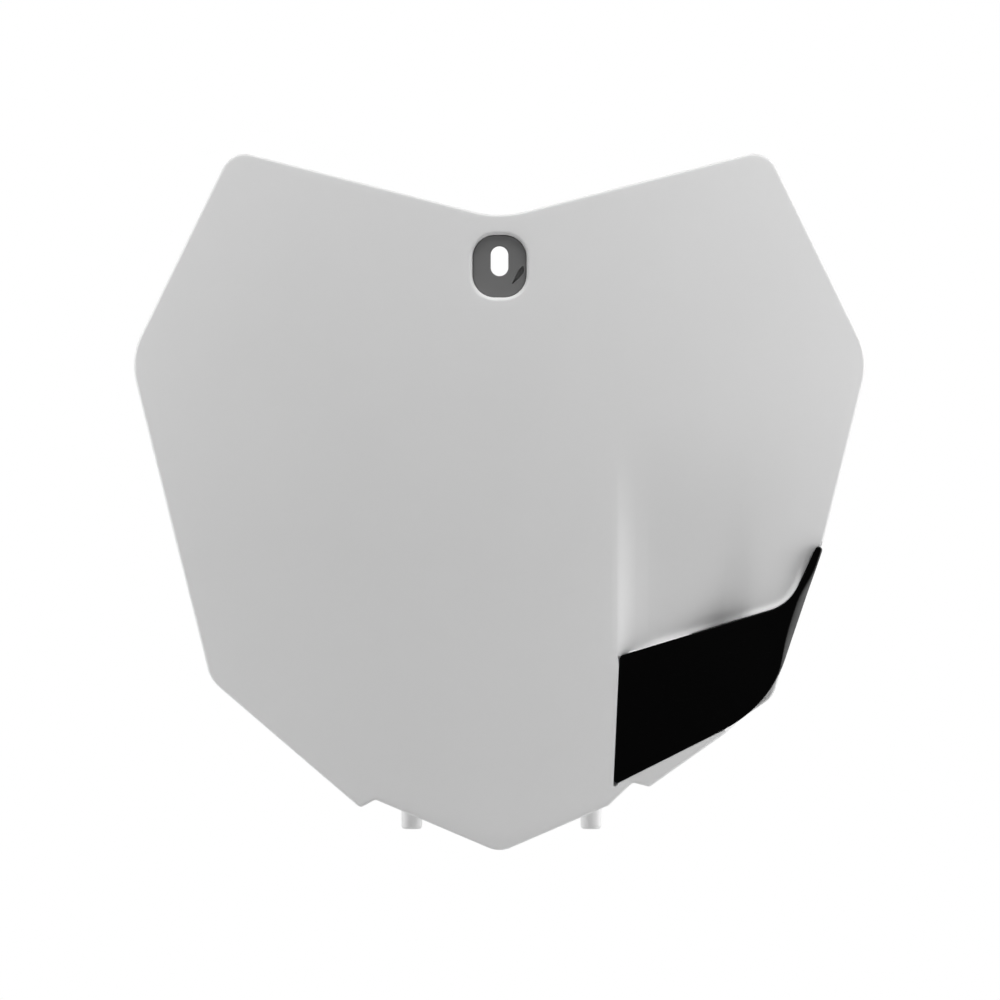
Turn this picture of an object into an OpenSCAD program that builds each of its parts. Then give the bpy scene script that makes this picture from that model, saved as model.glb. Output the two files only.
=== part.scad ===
// Front number board of an off-road motorcycle, seen with its face towards -Y and +Z up.
// The origin is the middle of the top fixing slot, on the plane where the board meets its bracket.

/* [Outline] */
// Half width across the two top corners
top_half_w = 96.6; // [92:0.2:100]
// Height of the top corners above the fixing slot
top_rise = 40.6; // [36:0.2:44]
// Height of the dip between the top corners above the fixing slot
dip_rise = 15.3; // [15:0.1:16]
// Half width across the widest corners
side_half_w = 133.3; // [130:0.2:138]
// Drop of the widest corners below the fixing slot
side_drop = 34.5; // [30:0.5:40]
// Half width across the lower corners
low_half_w = 103.9; // [102:0.2:106]
// Drop of the lower corners below the fixing slot
low_drop = 150.2; // [146:0.2:154]
// Drop of the bottom tip below the fixing slot
tip_drop = 211.9; // [209:0.2:215]
// Radius of the top corners
top_r = 9; // [7:0.5:11]
// Radius of the dip between the top corners
dip_r = 38; // [30:1:45]
// Radius of the widest corners
side_r = 24; // [18:1:28]
// Radius of the lower corners
low_r = 13; // [10:1:16]
// Radius of the bottom tip
tip_r = 10; // [8:1:12]

/* [Moulded sheet] */
// Wall thickness of the white moulding
sheet_t = 2.4; // [2.2:0.1:2.6]
// Radius of the softened outer edge
edge_r = 0.9; // [0.7:0.1:1.2]
// Depth of the turned-back edge behind the face
edge_depth = 6.5; // [6:0.5:8]
// Radius of the bow from side to side
bow_r = 380; // [330:10:600]
// Radius of the lean above the middle of the face
lean_top_r = 700; // [600:10:1200]
// Radius of the lean below the middle of the face
lean_low_r = 1300; // [1000:50:2000]

/* [Hose recess] */
// Distance of the sharp edge of the recess from the middle
crease_x = 41.4; // [41:0.1:41.8]
// Depth of the recess behind the face beside its sharp edge
scoop_depth = 3.2; // [2.6:0.1:3.6]
// Extra depth where the hose dives behind the guide
dive_depth = 7.6; // [6:0.2:8]
// Depth of the ledge under the guide
seat_depth = 2.8; // [2.6:0.1:3.2]
// Extra depth of the hose channel across the ledge
channel_depth = 10; // [9:0.2:10.4]

/* [Hose guide] */
// Wall thickness of the black guide
guide_t = 2; // [1.8:0.1:2.2]
// Radius rolled over along the outer side of the guide
guide_edge_r = 3; // [2.6:0.1:3.2]
// Depth of the outer side wall of the guide
guide_side = 6.5; // [6:0.1:7]
// Clearance between the guide and the moulding
guide_gap = 0.4; // [0.3:0.05:0.5]

/* [Top fixing] */
// Width of the fixing slot
slot_w = 6.3; // [6.1:0.1:6.6]
// Height of the fixing slot
slot_h = 10.8; // [10:0.1:11.4]
// Width of the pocket round the fixing slot
pocket_w = 19.4; // [18.8:0.1:20]
// Height of the pocket round the fixing slot
pocket_h = 22.7; // [22:0.1:23]
// Corner radius of the pocket
pocket_r = 8.8; // [8:0.1:9.2]
// Radius rolled over at the mouth of the pocket
mouth_r = 1.4; // [1.2:0.1:1.5]
// Clearance between the grommet and the moulding
grommet_gap = 0.3; // [0.25:0.05:0.45]

/* [Pegs] */
// Diameter of the two lower pegs
peg_d = 7.5; // [7:0.1:8]
// Half the distance between the pegs
peg_x = 32.2; // [31.6:0.1:32.8]
// Drop of the peg ends below the fixing slot
peg_drop = 203.9; // [202:0.1:206]

/* [Hidden] */

// Heights behind and in front of the bracket plane
rear_flange = 2;
floor_t = 2.4;
pocket_floor_y = -rear_flange - floor_t;
face_y0 = -9.4;
grommet_face = 2;
middle_z = -95.7;

// Small corners of the lower edge: left spur and notch, right step, notch and spur
left_spur = [-49.9, -196];
left_notch = [-44.5, -193];
right_step = [39.1, -195.1];
right_notch = [47.7, -186.9];
right_spur = [53.8, -188.5];
small_r = 1.8;

// Right side behind the guide: where the hose leaves, the low corner and the rebate for the guide's tip
right_bend = [81.3, -169.2];
hose_edge = [86.5, -163.9];
right_low = [98.5, -158.1];
rebate_low = [112.9, -106.8];
rebate_top_z = -104.3;
bend_r = 3;
right_low_r = 10;
rebate_r = 0.8;
least_r = 0.3;

// Outline corners, counterclockwise from the left widest corner: x, z, radius
SIDE_L = 0;
LOW_L = 1;
SPUR_L = 2;
NOTCH_L = 3;
TIP = 4;
STEP_R = 5;
NOTCH_R = 6;
SPUR_R = 7;
BEND_R = 8;
HOSE_R = 9;
LOW_R = 10;
REBATE_LOW = 11;
REBATE_TOP = 12;
SIDE_R = 13;
TOP_R = 14;
function side_x(z) = lerp(side_half_w, low_half_w, (z + side_drop) / (side_drop - low_drop));
plate_corners = [
    [-side_half_w, -side_drop, side_r],
    [-low_half_w, -low_drop, low_r],
    [left_spur[0], left_spur[1], small_r],
    [left_notch[0], left_notch[1], small_r],
    [0, -tip_drop, tip_r],
    [right_step[0], right_step[1], small_r],
    [right_notch[0], right_notch[1], small_r],
    [right_spur[0], right_spur[1], small_r],
    [right_bend[0], right_bend[1], bend_r],
    [hose_edge[0], hose_edge[1], bend_r],
    [right_low[0], right_low[1], right_low_r],
    [rebate_low[0], rebate_low[1], rebate_r],
    [side_x(rebate_top_z), rebate_top_z, rebate_r],
    [side_half_w, -side_drop, side_r],
    [top_half_w, top_rise, top_r],
    [0, dip_rise, dip_r],
    [-top_half_w, top_rise, top_r],
];

// Guide outline corners, counterclockwise from the lower left: x, z, radius
guide_corners = [
    [40.9, -188.1, 1],
    [96, -161.1, 46],
    [116.5, -102.4, 1.1],
    [113.4, -102.6, 1.1],
    [103.8, -123.1, 16],
    [43, -142.1, 1.8],
];

// How far the face of the guide stands proud of the board, at its middle and at its tip
guide_proud = 0.2;
tip_proud = 0.8;
tip_from_x = 96;
tip_run = 14;

// Open part of the recess: it deepens from scoop_top down, and dives near dive_x
scoop_top = -50;
scoop_low = -142;
scoop_run = 6.5;
dive_run = 11.5;
dive_x = 80;
dive_left = 20;
dive_right = 9;
tip_dent = [112, -112];
tip_dent_run = 9;

// Ledge under the guide: steep walls, a deeper outer side, and the hose channel across it
wall_run = 0.4;
seat_gap = 0.5;
seat_side_depth = 5.5;
seat_side_x = [84, 110];
channel_low = [86, -168];
channel_top_z = -130;
channel_run = 9;

// Low lip along the top of the guide, left out where the hose dives
lip_rise = 0.6;
lip_mid = 0.4;
lip_half = 0.9;
lip_run = 1.2;
lip_foot = 2.6;
lip_from_x = 58;
lip_gap_x = [76, 84];
lip_end_x = 111;
lip_ease = [8, 3, 4, 4];

function lerp(a, b, f) = a + (b - a) * f;
function clamp(v, lo, hi) = min(max(v, lo), hi);
function ease(f) = let (c = clamp(f, 0, 1)) c * c * (3 - 2 * c);
function bell(d, run) = exp(-pow(d / run, 2));
function unit(v) = v / norm(v);
function left_of(v) = [-v[1], v[0]];
function turned(v, a) = [v[0] * cos(a) - v[1] * sin(a), v[0] * sin(a) + v[1] * cos(a)];
function last(v) = v[len(v) - 1];
function even(n) = [for (k = [0:n]) k / n];
function inner(n) = [for (k = [1:n]) k / (n + 1)];
function between(a, b, fractions) = [for (f = fractions) lerp(a, b, f)];
function at_x(a, b, x) = lerp(a, b, (x - a[0]) / (b[0] - a[0]));
function arc_sag(r, d) = r - sqrt(r * r - d * d);

// Rounded corner k of a closed outline whose edge k is moved in by insets[k]
function corner_arc(corners, insets, k, fractions) =
    let (
        n = len(corners),
        p = corners[(k + n - 1) % n],
        q = corners[k],
        s = corners[(k + 1) % n],
        d1 = unit([q[0] - p[0], q[1] - p[1]]),
        d2 = unit([s[0] - q[0], s[1] - q[1]]),
        n1 = left_of(d1),
        n2 = left_of(d2),
        co = n1 * n2,
        a1 = insets[(k + n - 1) % n],
        a2 = insets[k],
        v = [q[0], q[1]] + (n1 * (a1 - a2 * co) + n2 * (a2 - a1 * co)) / (1 - co * co),
        side = sign(cross(d1, d2)),
        r = max(q[2] - side * (a1 + a2) / 2, least_r),
        turn = acos(co),
        start = v - d1 * r * tan(turn / 2),
        centre = start + n1 * side * r
    )
    [for (f = fractions) centre - turned(n1, side * turn * f) * side * r];

// Depth of the bowed face at a place
function lean(z) = z > middle_z ? arc_sag(lean_top_r, z - middle_z) : arc_sag(lean_low_r, z - middle_z);
function bowed_y(x, z) = face_y0 + arc_sag(bow_r, x) + lean(z) - lean(0);

// Height of the guide's top edge, without its rounded ends
guide_top_a = guide_corners[5];
guide_top_b = guide_corners[4];
guide_top_c = guide_corners[3];
slope_ab = (guide_top_b[1] - guide_top_a[1]) / (guide_top_b[0] - guide_top_a[0]);
slope_bc = (guide_top_c[1] - guide_top_b[1]) / (guide_top_c[0] - guide_top_b[0]);
bend_half = (atan(slope_bc) - atan(slope_ab)) / 2;
bend_reach = guide_top_b[2] * tan(bend_half);
bend_start = guide_top_b[0] - bend_reach * cos(atan(slope_ab));
bend_end = guide_top_b[0] + bend_reach * cos(atan(slope_bc));
bend_cx = bend_start - guide_top_b[2] * sin(atan(slope_ab));
bend_cz = guide_top_b[1] - bend_reach * sin(atan(slope_ab)) + guide_top_b[2] * cos(atan(slope_ab));
function guide_line(x) =
    x < bend_start ? guide_top_b[1] + slope_ab * (max(x, guide_top_a[0]) - guide_top_b[0])
    : x < bend_end ? bend_cz - sqrt(pow(guide_top_b[2], 2) - pow(x - bend_cx, 2))
    : min(guide_top_b[1] + slope_bc * (x - guide_top_b[0]), guide_corners[2][1]);

// Lower edge and left edge of the guide, without the rounded corners
foot_slope = (guide_corners[1][1] - guide_corners[0][1]) / (guide_corners[1][0] - guide_corners[0][0]);
left_slope = (guide_top_a[0] - guide_corners[0][0]) / (guide_top_a[1] - guide_corners[0][1]);
function guide_foot(x) = guide_corners[0][1] + foot_slope * (x - guide_corners[0][0]);
function guide_left(z) = guide_corners[0][0] + left_slope * (z - guide_corners[0][1]);

// Sharp edge of the recess: upright above the guide, and along the guide's left edge beside it
crease_low_x = guide_left(right_step[1]) - seat_gap;
function crease_at(z) =
    lerp(guide_left(z) - seat_gap, crease_x, clamp(1 + (z - guide_top_a[1] - seat_gap) / wall_run, 0, 1));

// Depth of the recess behind the bowed face; grow moves its steep walls outward for the rear face
function scoop(x, z, w, u) =
    (1 - exp(-u / scoop_run)) * (
        scoop_depth * ease((scoop_top - z) / (scoop_top - scoop_low))
        + dive_depth * exp(-w / dive_run) * bell(x - dive_x, x < dive_x ? dive_left : dive_right)
        + bell(norm([x, z] - tip_dent), tip_dent_run)
    );
function seat(x, z) =
    let (
        rise = clamp((z - channel_low[1]) / (channel_top_z - channel_low[1]), 0, 1),
        off = x - lerp(channel_low[0], dive_x, rise)
    )
    lerp(seat_depth, seat_side_depth, ease((x - seat_side_x[0]) / (seat_side_x[1] - seat_side_x[0])))
    + channel_depth * bell(off, off < 0 ? lerp(channel_run, dive_left, rise) : channel_run);
function lip(x, w) =
    bell(w - lip_mid, lip_half) * ease((x - lip_from_x) / lip_ease[0]) * ease((lip_end_x - x) / lip_ease[3])
    * max(ease((lip_gap_x[0] - x) / lip_ease[1]), ease((x - lip_gap_x[1]) / lip_ease[2]));
function recess(x, z, grow) =
    let (
        u = x - crease_at(z) + grow,
        w = z - guide_line(x) - seat_gap - grow,
        b = z - guide_foot(x) + seat_gap + grow,
        over = scoop(x, z, max(w, 0), max(u, 0)),
        lift = grow > 0 ? 0 : min(lip(x, w) * lip_rise, over),
        in_seat = clamp(min(u, b) / wall_run, 0, 1),
        in_w = clamp(-w / wall_run, 0, 1)
    )
    u <= 0 ? 0 : lerp(over - lift, seat(x, z) * in_seat, in_w);
function front_y(x, z, grow = 0) = bowed_y(x, z) + recess(x, z, grow);

// Lower chain of the outline from left to right, moved in by inset
side_points = 6;
outer_x = 89;
window_x = 14.5;
side_n = side_points + 11;
crease_index = side_n + 5 + 4 + 4 + 4 + 3 + 5 + 3 + 4 + 3;
function even_insets(corners, inset) = [for (c = corners) inset];
function side_split() = let (
        up = atan((side_half_w - top_half_w) / (side_drop + top_rise)),
        down = atan((side_half_w - low_half_w) / (low_drop - side_drop))
    ) up / (up + down);
function lower_chain(inset, grow) =
    let (
        ins = even_insets(plate_corners, inset),
        up = side_split(),
        side_l = corner_arc(plate_corners, ins, SIDE_L, [up, (1 + up) / 2, 1]),
        low_l = corner_arc(plate_corners, ins, LOW_L, even(4)),
        spur_l = corner_arc(plate_corners, ins, SPUR_L, even(3)),
        notch_l = corner_arc(plate_corners, ins, NOTCH_L, even(3)),
        tip = corner_arc(plate_corners, ins, TIP, even(4)),
        step_r = corner_arc(plate_corners, ins, STEP_R, even(2)),
        notch_r = corner_arc(plate_corners, ins, NOTCH_R, even(2)),
        spur_r = corner_arc(plate_corners, ins, SPUR_R, even(3)),
        bend = corner_arc(plate_corners, ins, BEND_R, even(1)),
        hose = corner_arc(plate_corners, ins, HOSE_R, [0.5]),
        low_r = corner_arc(plate_corners, ins, LOW_R, even(4)),
        rebate_low = corner_arc(plate_corners, ins, REBATE_LOW, [0.5]),
        rebate_top = corner_arc(plate_corners, ins, REBATE_TOP, even(1)),
        side_r = corner_arc(plate_corners, ins, SIDE_R, [0, (1 - up) / 2, 1 - up]),
        outer_l = at_x(last(low_l), spur_l[0], -outer_x),
        outer_r = at_x(hose[0], low_r[0], outer_x),
        window_l = at_x(last(notch_l), tip[0], -window_x),
        window_r = at_x(last(tip), step_r[0], window_x),
        edge_x = crease_low_x - grow,
        foot = at_x(last(step_r), notch_r[0], edge_x + wall_run)
    )
    concat(
        side_l, between(last(side_l), low_l[0], inner(side_points)), low_l,
        between(last(low_l), outer_l, [1 / 3, 2 / 3, 1]),
        between(outer_l, spur_l[0], inner(5)), spur_l, notch_l,
        between(last(notch_l), window_l, inner(4)), between(window_l, tip[0], [0, 1 / 3, 2 / 3]), tip,
        between(last(tip), window_r, [1 / 3, 2 / 3, 1]), between(window_r, step_r[0], inner(4)), step_r,
        [at_x(last(step_r), notch_r[0], edge_x), foot, lerp(foot, notch_r[0], 0.5)], notch_r, spur_r,
        between(last(spur_r), bend[0], inner(6)), bend, hose,
        between(outer_r, low_r[0], [0, 1 / 3, 2 / 3]), low_r,
        between(last(low_r), rebate_low[0], inner(side_points - 4)), rebate_low, rebate_top,
        [lerp(last(rebate_top), side_r[0], 0.5)], side_r
    );

// Upper chain, with one point above each point of the lower chain
dip_angle = atan((top_rise - dip_rise) / top_half_w);
dip_centre = dip_rise + dip_r / cos(dip_angle);
function upper_z(x, inset) =
    abs(x) < (dip_r + inset) * sin(dip_angle) ? dip_centre - sqrt(pow(dip_r + inset, 2) - x * x)
    : dip_rise + abs(x) * tan(dip_angle) - inset / cos(dip_angle);
function upper_chain(lower, inset) =
    let (
        ins = even_insets(plate_corners, inset),
        up = side_split(),
        side = corner_arc(plate_corners, ins, SIDE_R, between(1 - up, 1, even(3))),
        top = corner_arc(plate_corners, ins, TOP_R, even(6)),
        right = concat(side, between(last(side), top[0], inner(side_points)), top),
        n = len(lower)
    )
    [
        for (i = [0:n - 1])
            i < len(right) ? [-right[i][0], right[i][1]]
            : i >= n - len(right) ? right[n - 1 - i]
            : [lower[i][0], upper_z(lower[i][0], inset)]
    ];

// Heights of the rows in one column, as fractions from the lower chain to the upper one
rows_below = 5;
rows_above = [0.03, 0.08, 0.14, 0.22, 0.33, 0.46, 0.62, 0.8126, 0.872, 0.932, 0.9915, 1];
window_row = rows_below + 3 + 8;
function row_fractions(z0, z1, foot_key, key) =
    let (
        h = max(z1 - z0, 0.001),
        k = clamp((key - z0) / h, 0.06, 0.7),
        s = clamp((foot_key - z0) / h, 0.02 * k, 0.6 * k),
        run = min(wall_run / h, 0.1 * k),
        foot = min(lip_foot / h, 0.2 * (1 - k)),
        low = concat([0, s], [for (j = [0:rows_below - 2]) lerp(s + run, k - run, j / (rows_below - 2))])
    )
    concat(low, [k, k + foot * lip_run / lip_foot, k + foot],
        [for (f = rows_above) lerp(k + foot, 1, f)]);
n_rows = rows_below + 3 + len(rows_above);

function plate_grid(inset, grow, depth) =
    let (lower = lower_chain(inset, grow), upper = upper_chain(lower, inset))
    [
        for (i = [0:len(lower) - 1])
            let (
                a = lower[i],
                b = upper[i],
                mid_x = lerp(a[0], b[0], 0.2),
                key = guide_line(max(mid_x, crease_x)) + seat_gap + grow,
                v = row_fractions(a[1], b[1], guide_foot(max(a[0], crease_x)) - seat_gap - grow, key),
                on_crease = i == crease_index || i == crease_index + 1,
                shift = i == crease_index ? 0 : wall_run
            )
            [
                for (j = [0:n_rows])
                    let (
                        z = lerp(a[1], b[1], v[j]),
                        x = on_crease && j > 0 ? crease_at(z) - grow + shift : lerp(a[0], b[0], v[j])
                    )
                    [x, front_y(x, z, grow) + depth, z]
            ]
    ];

// Rim profile from the rolled edge round the turned-back flange: inset, depth, growth of the walls
rim = [
    [edge_r * (1 - sin(45)), edge_r * (1 - cos(45)), 0],
    [0, edge_r, 0],
    [0, edge_depth - 0.4, 0],
    [0.4, edge_depth, 0.2 * sheet_t],
    [sheet_t, edge_depth, sheet_t],
    [sheet_t, sheet_t + 1.2, sheet_t],
];
back_inset = sheet_t + 1.2;
function rim_loop(inset, depth, grow) =
    let (
        lower = lower_chain(inset, grow),
        upper = upper_chain(lower, inset),
        n = len(lower),
        loop = concat(lower, [for (i = [n - 2:-1:1]) upper[i]])
    )
    [for (p = loop) [p[0], front_y(p[0], p[1], grow) + depth, p[1]]];

// Pocket outline: count points on a rounded rectangle grown by d, from the lower left round
function pocket_point(d, a) =
    let (
        w = pocket_w / 2 - pocket_r,
        h = pocket_h / 2 - pocket_r,
        r = pocket_r + d,
        c = cos(a),
        s = sin(a)
    )
    [sign(c) * w * min(abs(c) * 3, 1) + r * c, sign(s) * h * min(abs(s) * 3, 1) + r * s];
pocket_centre_z = -1.5;
pocket_from = -159;
function pocket_ring(d, n, deep, on_face) =
    [
        for (k = [0:n - 1])
            let (p = pocket_point(d, pocket_from + 360 * k / n), z = p[1] + pocket_centre_z)
            [p[0], on_face ? front_y(p[0], z) + deep : deep, z]
    ];

module shell() {
    front = plate_grid(edge_r, 0, 0);
    back = plate_grid(back_inset, sheet_t, sheet_t);
    nc = len(front) - 1;
    nr = n_rows;
    per = nr + 1;
    sheet_n = (nc + 1) * per;
    loop_n = 2 * nc;
    loops = [for (r = rim) rim_loop(r[0], r[1], r[2])];
    i_left = [for (i = [0:nc]) if (abs(front[i][0][0] + window_x) < 0.01) i][0];
    i_right = [for (i = [0:nc]) if (abs(front[i][0][0] - window_x) < 0.01) i][0];
    j_low = window_row;
    j_top = nr - 1;
    window = concat(
        [for (i = [i_left:i_right - 1]) [i, j_low]], [for (j = [j_low:j_top - 1]) [i_right, j]],
        [for (i = [i_right:-1:i_left + 1]) [i, j_top]], [for (j = [j_top:-1:j_low + 1]) [i_left, j]]
    );
    wn = len(window);
    front_cup = [
        pocket_ring(mouth_r, wn, 0, true),
        pocket_ring(mouth_r * 0.3, wn, mouth_r * 0.3, true),
        pocket_ring(0, wn, mouth_r, true),
        pocket_ring(0, wn, pocket_floor_y, false),
    ];
    back_cup = [
        pocket_ring(sheet_t, wn, sheet_t, true),
        pocket_ring(sheet_t, wn, pocket_floor_y + floor_t, false),
    ];
    function sheet_id(base, i, j) = base + (i == 0 || i == nc ? i * per : i * per + j);
    function edge_id(base, k) = k <= nc ? sheet_id(base, k, 0) : sheet_id(base, loop_n - k, nr);
    function loop_id(l, k) =
        let (q = k % loop_n)
        l == 0 ? edge_id(0, q) : l == len(loops) + 1 ? edge_id(sheet_n, q)
        : 2 * sheet_n + (l - 1) * loop_n + q;
    cup_base = 2 * sheet_n + len(loops) * loop_n;
    function front_id(l, k) =
        let (q = k % wn) l == 0 ? sheet_id(0, window[q][0], window[q][1]) : cup_base + (l - 1) * wn + q;
    back_base = cup_base + len(front_cup) * wn;
    function back_id(l, k) =
        let (q = k % wn)
        l == 0 ? sheet_id(sheet_n, window[q][0], window[q][1]) : back_base + (l - 1) * wn + q;
    middle_base = back_base + len(back_cup) * wn;
    function in_window(i, j) = i >= i_left && i < i_right && j >= j_low && j < j_top;
    function quad(a, b, c, d) = a == b ? [[a, c, d]] : c == d ? [[a, b, c]] : [[a, b, c], [a, c, d]];
    function two_sided(a, b, c, d, flip) = flip ? quad(d, c, b, a) : quad(a, b, c, d);
    function sheet_faces(base, flip) = [
        for (i = [0:nc - 1]) for (j = [0:nr - 1]) if (!in_window(i, j))
            for (f = i == 0 ? [[sheet_id(base, 0, 0), sheet_id(base, 1, j), sheet_id(base, 1, j + 1)]]
                    : i == nc - 1
                    ? [[sheet_id(base, i, j), sheet_id(base, nc, 0), sheet_id(base, i, j + 1)]]
                    : quad(sheet_id(base, i, j), sheet_id(base, i + 1, j),
                        sheet_id(base, i + 1, j + 1), sheet_id(base, i, j + 1)))
                flip ? f : [f[2], f[1], f[0]]
    ];
    points = concat(
        [for (c = front) each c], [for (c = back) each c], [for (l = loops) each l],
        [for (l = front_cup) each l], [for (l = back_cup) each l],
        [[0, pocket_floor_y, pocket_centre_z], [0, pocket_floor_y + floor_t, pocket_centre_z]]
    );
    rim_faces = [
        for (l = [0:len(loops)]) for (k = [0:loop_n - 1])
            each two_sided(loop_id(l, k), loop_id(l, k + 1), loop_id(l + 1, k + 1), loop_id(l + 1, k), false)
    ];
    cup_faces = concat(
        [for (l = [0:len(front_cup) - 1]) for (k = [0:wn - 1])
            each two_sided(front_id(l, k), front_id(l, k + 1),
                front_id(l + 1, k + 1), front_id(l + 1, k), true)],
        [for (l = [0:len(back_cup) - 1]) for (k = [0:wn - 1])
            each two_sided(back_id(l, k), back_id(l, k + 1),
                back_id(l + 1, k + 1), back_id(l + 1, k), false)],
        [for (k = [0:wn - 1]) [middle_base, front_id(len(front_cup), k + 1), front_id(len(front_cup), k)]],
        [for (k = [0:wn - 1]) [middle_base + 1, back_id(len(back_cup), k), back_id(len(back_cup), k + 1)]]
    );
    polyhedron(points, concat(sheet_faces(0, false), sheet_faces(sheet_n, true), rim_faces, cup_faces));
}

// Exact rounded prism along +Y, and a slot with round ends standing upright
module rounded_block(w, h, r, y0, y1) {
    translate([0, y1, 0]) rotate([90, 0, 0]) {
        translate([-w / 2, -h / 2 + r, 0]) cube([w, h - 2 * r, y1 - y0]);
        translate([-w / 2 + r, -h / 2, 0]) cube([w - 2 * r, h, y1 - y0]);
        for (sx = [-1, 1]) for (sz = [-1, 1])
            translate([sx * (w / 2 - r), sz * (h / 2 - r), 0]) cylinder(h = y1 - y0, r = r, $fn = 64);
    }
}
module slot_block(w, h, y0, y1) {
    translate([0, y1, 0]) rotate([90, 0, 0]) {
        translate([-w / 2, -(h - w) / 2, 0]) cube([w, h - w, y1 - y0]);
        for (sz = [-1, 1]) translate([0, sz * (h - w) / 2, 0]) cylinder(h = y1 - y0, d = w, $fn = 64);
    }
}
// Upright web of thickness t at x, drawn in the plane of depth and height
module web(x, t, outline) {
    translate([x - t / 2, 0, 0]) rotate([90, 0, 90]) linear_extrude(t) polygon(outline);
}
// Lying web of thickness t at z, drawn in the plane of width and depth
module shelf(z, t, outline) {
    translate([0, 0, z - t / 2]) linear_extrude(t) polygon(outline);
}
// Depth just inside the sheet, where webs begin
root = 1.2;
function root_y(x, z) = front_y(x, z) + root;

// Peg with a softened end below a thicker root, on a bracket behind the lower edge
peg_y = 1.2;
peg_len = 14;
peg_soft = 1.1;
peg_shift = 0.7;
peg_root_d = peg_d + 2.4;
peg_root_len = 10;
web_t = 3;
shelf_half_w = 8;
web_rise = 22;
shelf_drop = 4;
web_turn = 8;
module peg(side) {
    x = side * peg_x + peg_shift;
    z0 = -peg_drop;
    z_root = z0 + peg_len;
    z1 = z_root + peg_root_len;
    z_shelf = z1 - shelf_drop;
    z_turn = z1 + web_turn;
    z_top = z1 + web_rise;
    translate([x, peg_y, z0]) cylinder(h = peg_soft, d1 = peg_d - 2 * peg_soft, d2 = peg_d, $fn = 64);
    translate([x, peg_y, z0 + peg_soft]) cylinder(h = peg_len - peg_soft, d = peg_d, $fn = 64);
    translate([x, peg_y, z_root]) cylinder(h = peg_root_len, d = peg_root_d, $fn = 64);
    web(x, web_t, [
        [root_y(x, z_root), z_root + 1], [peg_y, z_root + 1], [peg_y, z1 - 2],
        [root_y(x, z_top) + 0.6, z_top], [root_y(x, z_turn), z_turn],
    ]);
    shelf(z_shelf, web_t, [
        [x - shelf_half_w, root_y(x - shelf_half_w, z_shelf)],
        [x + shelf_half_w, root_y(x + shelf_half_w, z_shelf)],
        [x + peg_root_d / 3, peg_y], [x - peg_root_d / 3, peg_y],
    ]);
}

// Ribs that tie the pocket to the sheet
rib_t = 2;
rib_reach = 22;
rib_drop = 26;
rib_foot = 1.2;
rib_in = 0.6;
rib_top_y = pocket_floor_y + floor_t - rib_in;
module pocket_ribs() {
    low = -pocket_h / 2 + pocket_centre_z;
    mid = low - rib_drop / 2;
    end = low - rib_drop;
    web(0, rib_t, [
        [root_y(0, low - rib_foot), low - rib_foot], [rib_top_y, low - rib_foot],
        [root_y(0, end) + rib_in, end], [root_y(0, mid), mid],
    ]);
    for (side = [-1, 1]) {
        x0 = side * (pocket_w / 2 + rib_foot);
        x1 = side * (pocket_w / 2 + rib_reach);
        xm = (x0 + x1) / 2;
        shelf(pocket_centre_z, rib_t, [
            [x0, root_y(x0, pocket_centre_z)], [x0, rib_top_y],
            [x1, root_y(x1, pocket_centre_z) + rib_in], [xm, root_y(xm, pocket_centre_z)],
        ]);
    }
}

// Snap hooks of the guide and the windows that take them: x, z
hooks = [[50, -153], [51, -176], [95.5, -137]];
hook_w = 5;
hook_t = 1.8;
barb = 1;
barb_len = 2.6;
barb_flat = 0.6;
hook_gap = 0.35;
hook_play = 0.3;
shoulder = 2;
shoulder_t = 1.8;
shoulder_play = 0.15;
hook_reach = [3.4, 2.2];
window_reach = 3;
function hook_floor(x, z, pick) =
    let (ys = [for (dx = [-1, 1]) for (dz = [-1, 1]) front_y(x + dx * hook_reach[0], z + dz * hook_reach[1])])
    pick > 0 ? max(ys) : min(ys);
module hook_window(p) {
    y = front_y(p[0], p[1]);
    translate([p[0] - hook_w / 2 - hook_gap, y - window_reach, p[1] - hook_t / 2 - hook_gap])
        cube([hook_w + 2 * hook_gap, sheet_t + 2 * window_reach, hook_t + barb + 2 * hook_gap]);
}
module hook(p) {
    x = p[0];
    z = p[1];
    y0 = bowed_y(x, z) - guide_proud + guide_t / 2;
    y_rest = hook_floor(x, z, -1) - shoulder_play;
    y_back = hook_floor(x, z, 1) + sheet_t + hook_play;
    y_end = y_back + barb_len;
    z0 = z - hook_t / 2;
    z1 = z + hook_t / 2;
    web(x, hook_w, [
        [y0, z0], [y_end, z0], [y_end, z1 - barb / 2], [y_back + barb_flat, z1 + barb],
        [y_back, z1 + barb], [y_back, z1], [y0, z1],
    ]);
    z_low = z0 - shoulder_t;
    z_high = z0 + shoulder_play;
    web(x, hook_w + 2 * shoulder, [[y0, z_low], [y_rest, z_low], [y_rest, z_high], [y0, z_high]]);
}

module plate() {
    color("white") {
        difference() {
            union() {
                shell();
                pocket_ribs();
                for (side = [-1, 1]) peg(side);
            }
            slot_block(neck_w + 2 * neck_gap, neck_h + 2 * neck_gap, -8, 1);
            for (p = hooks) hook_window(p);
        }
    }
}

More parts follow.
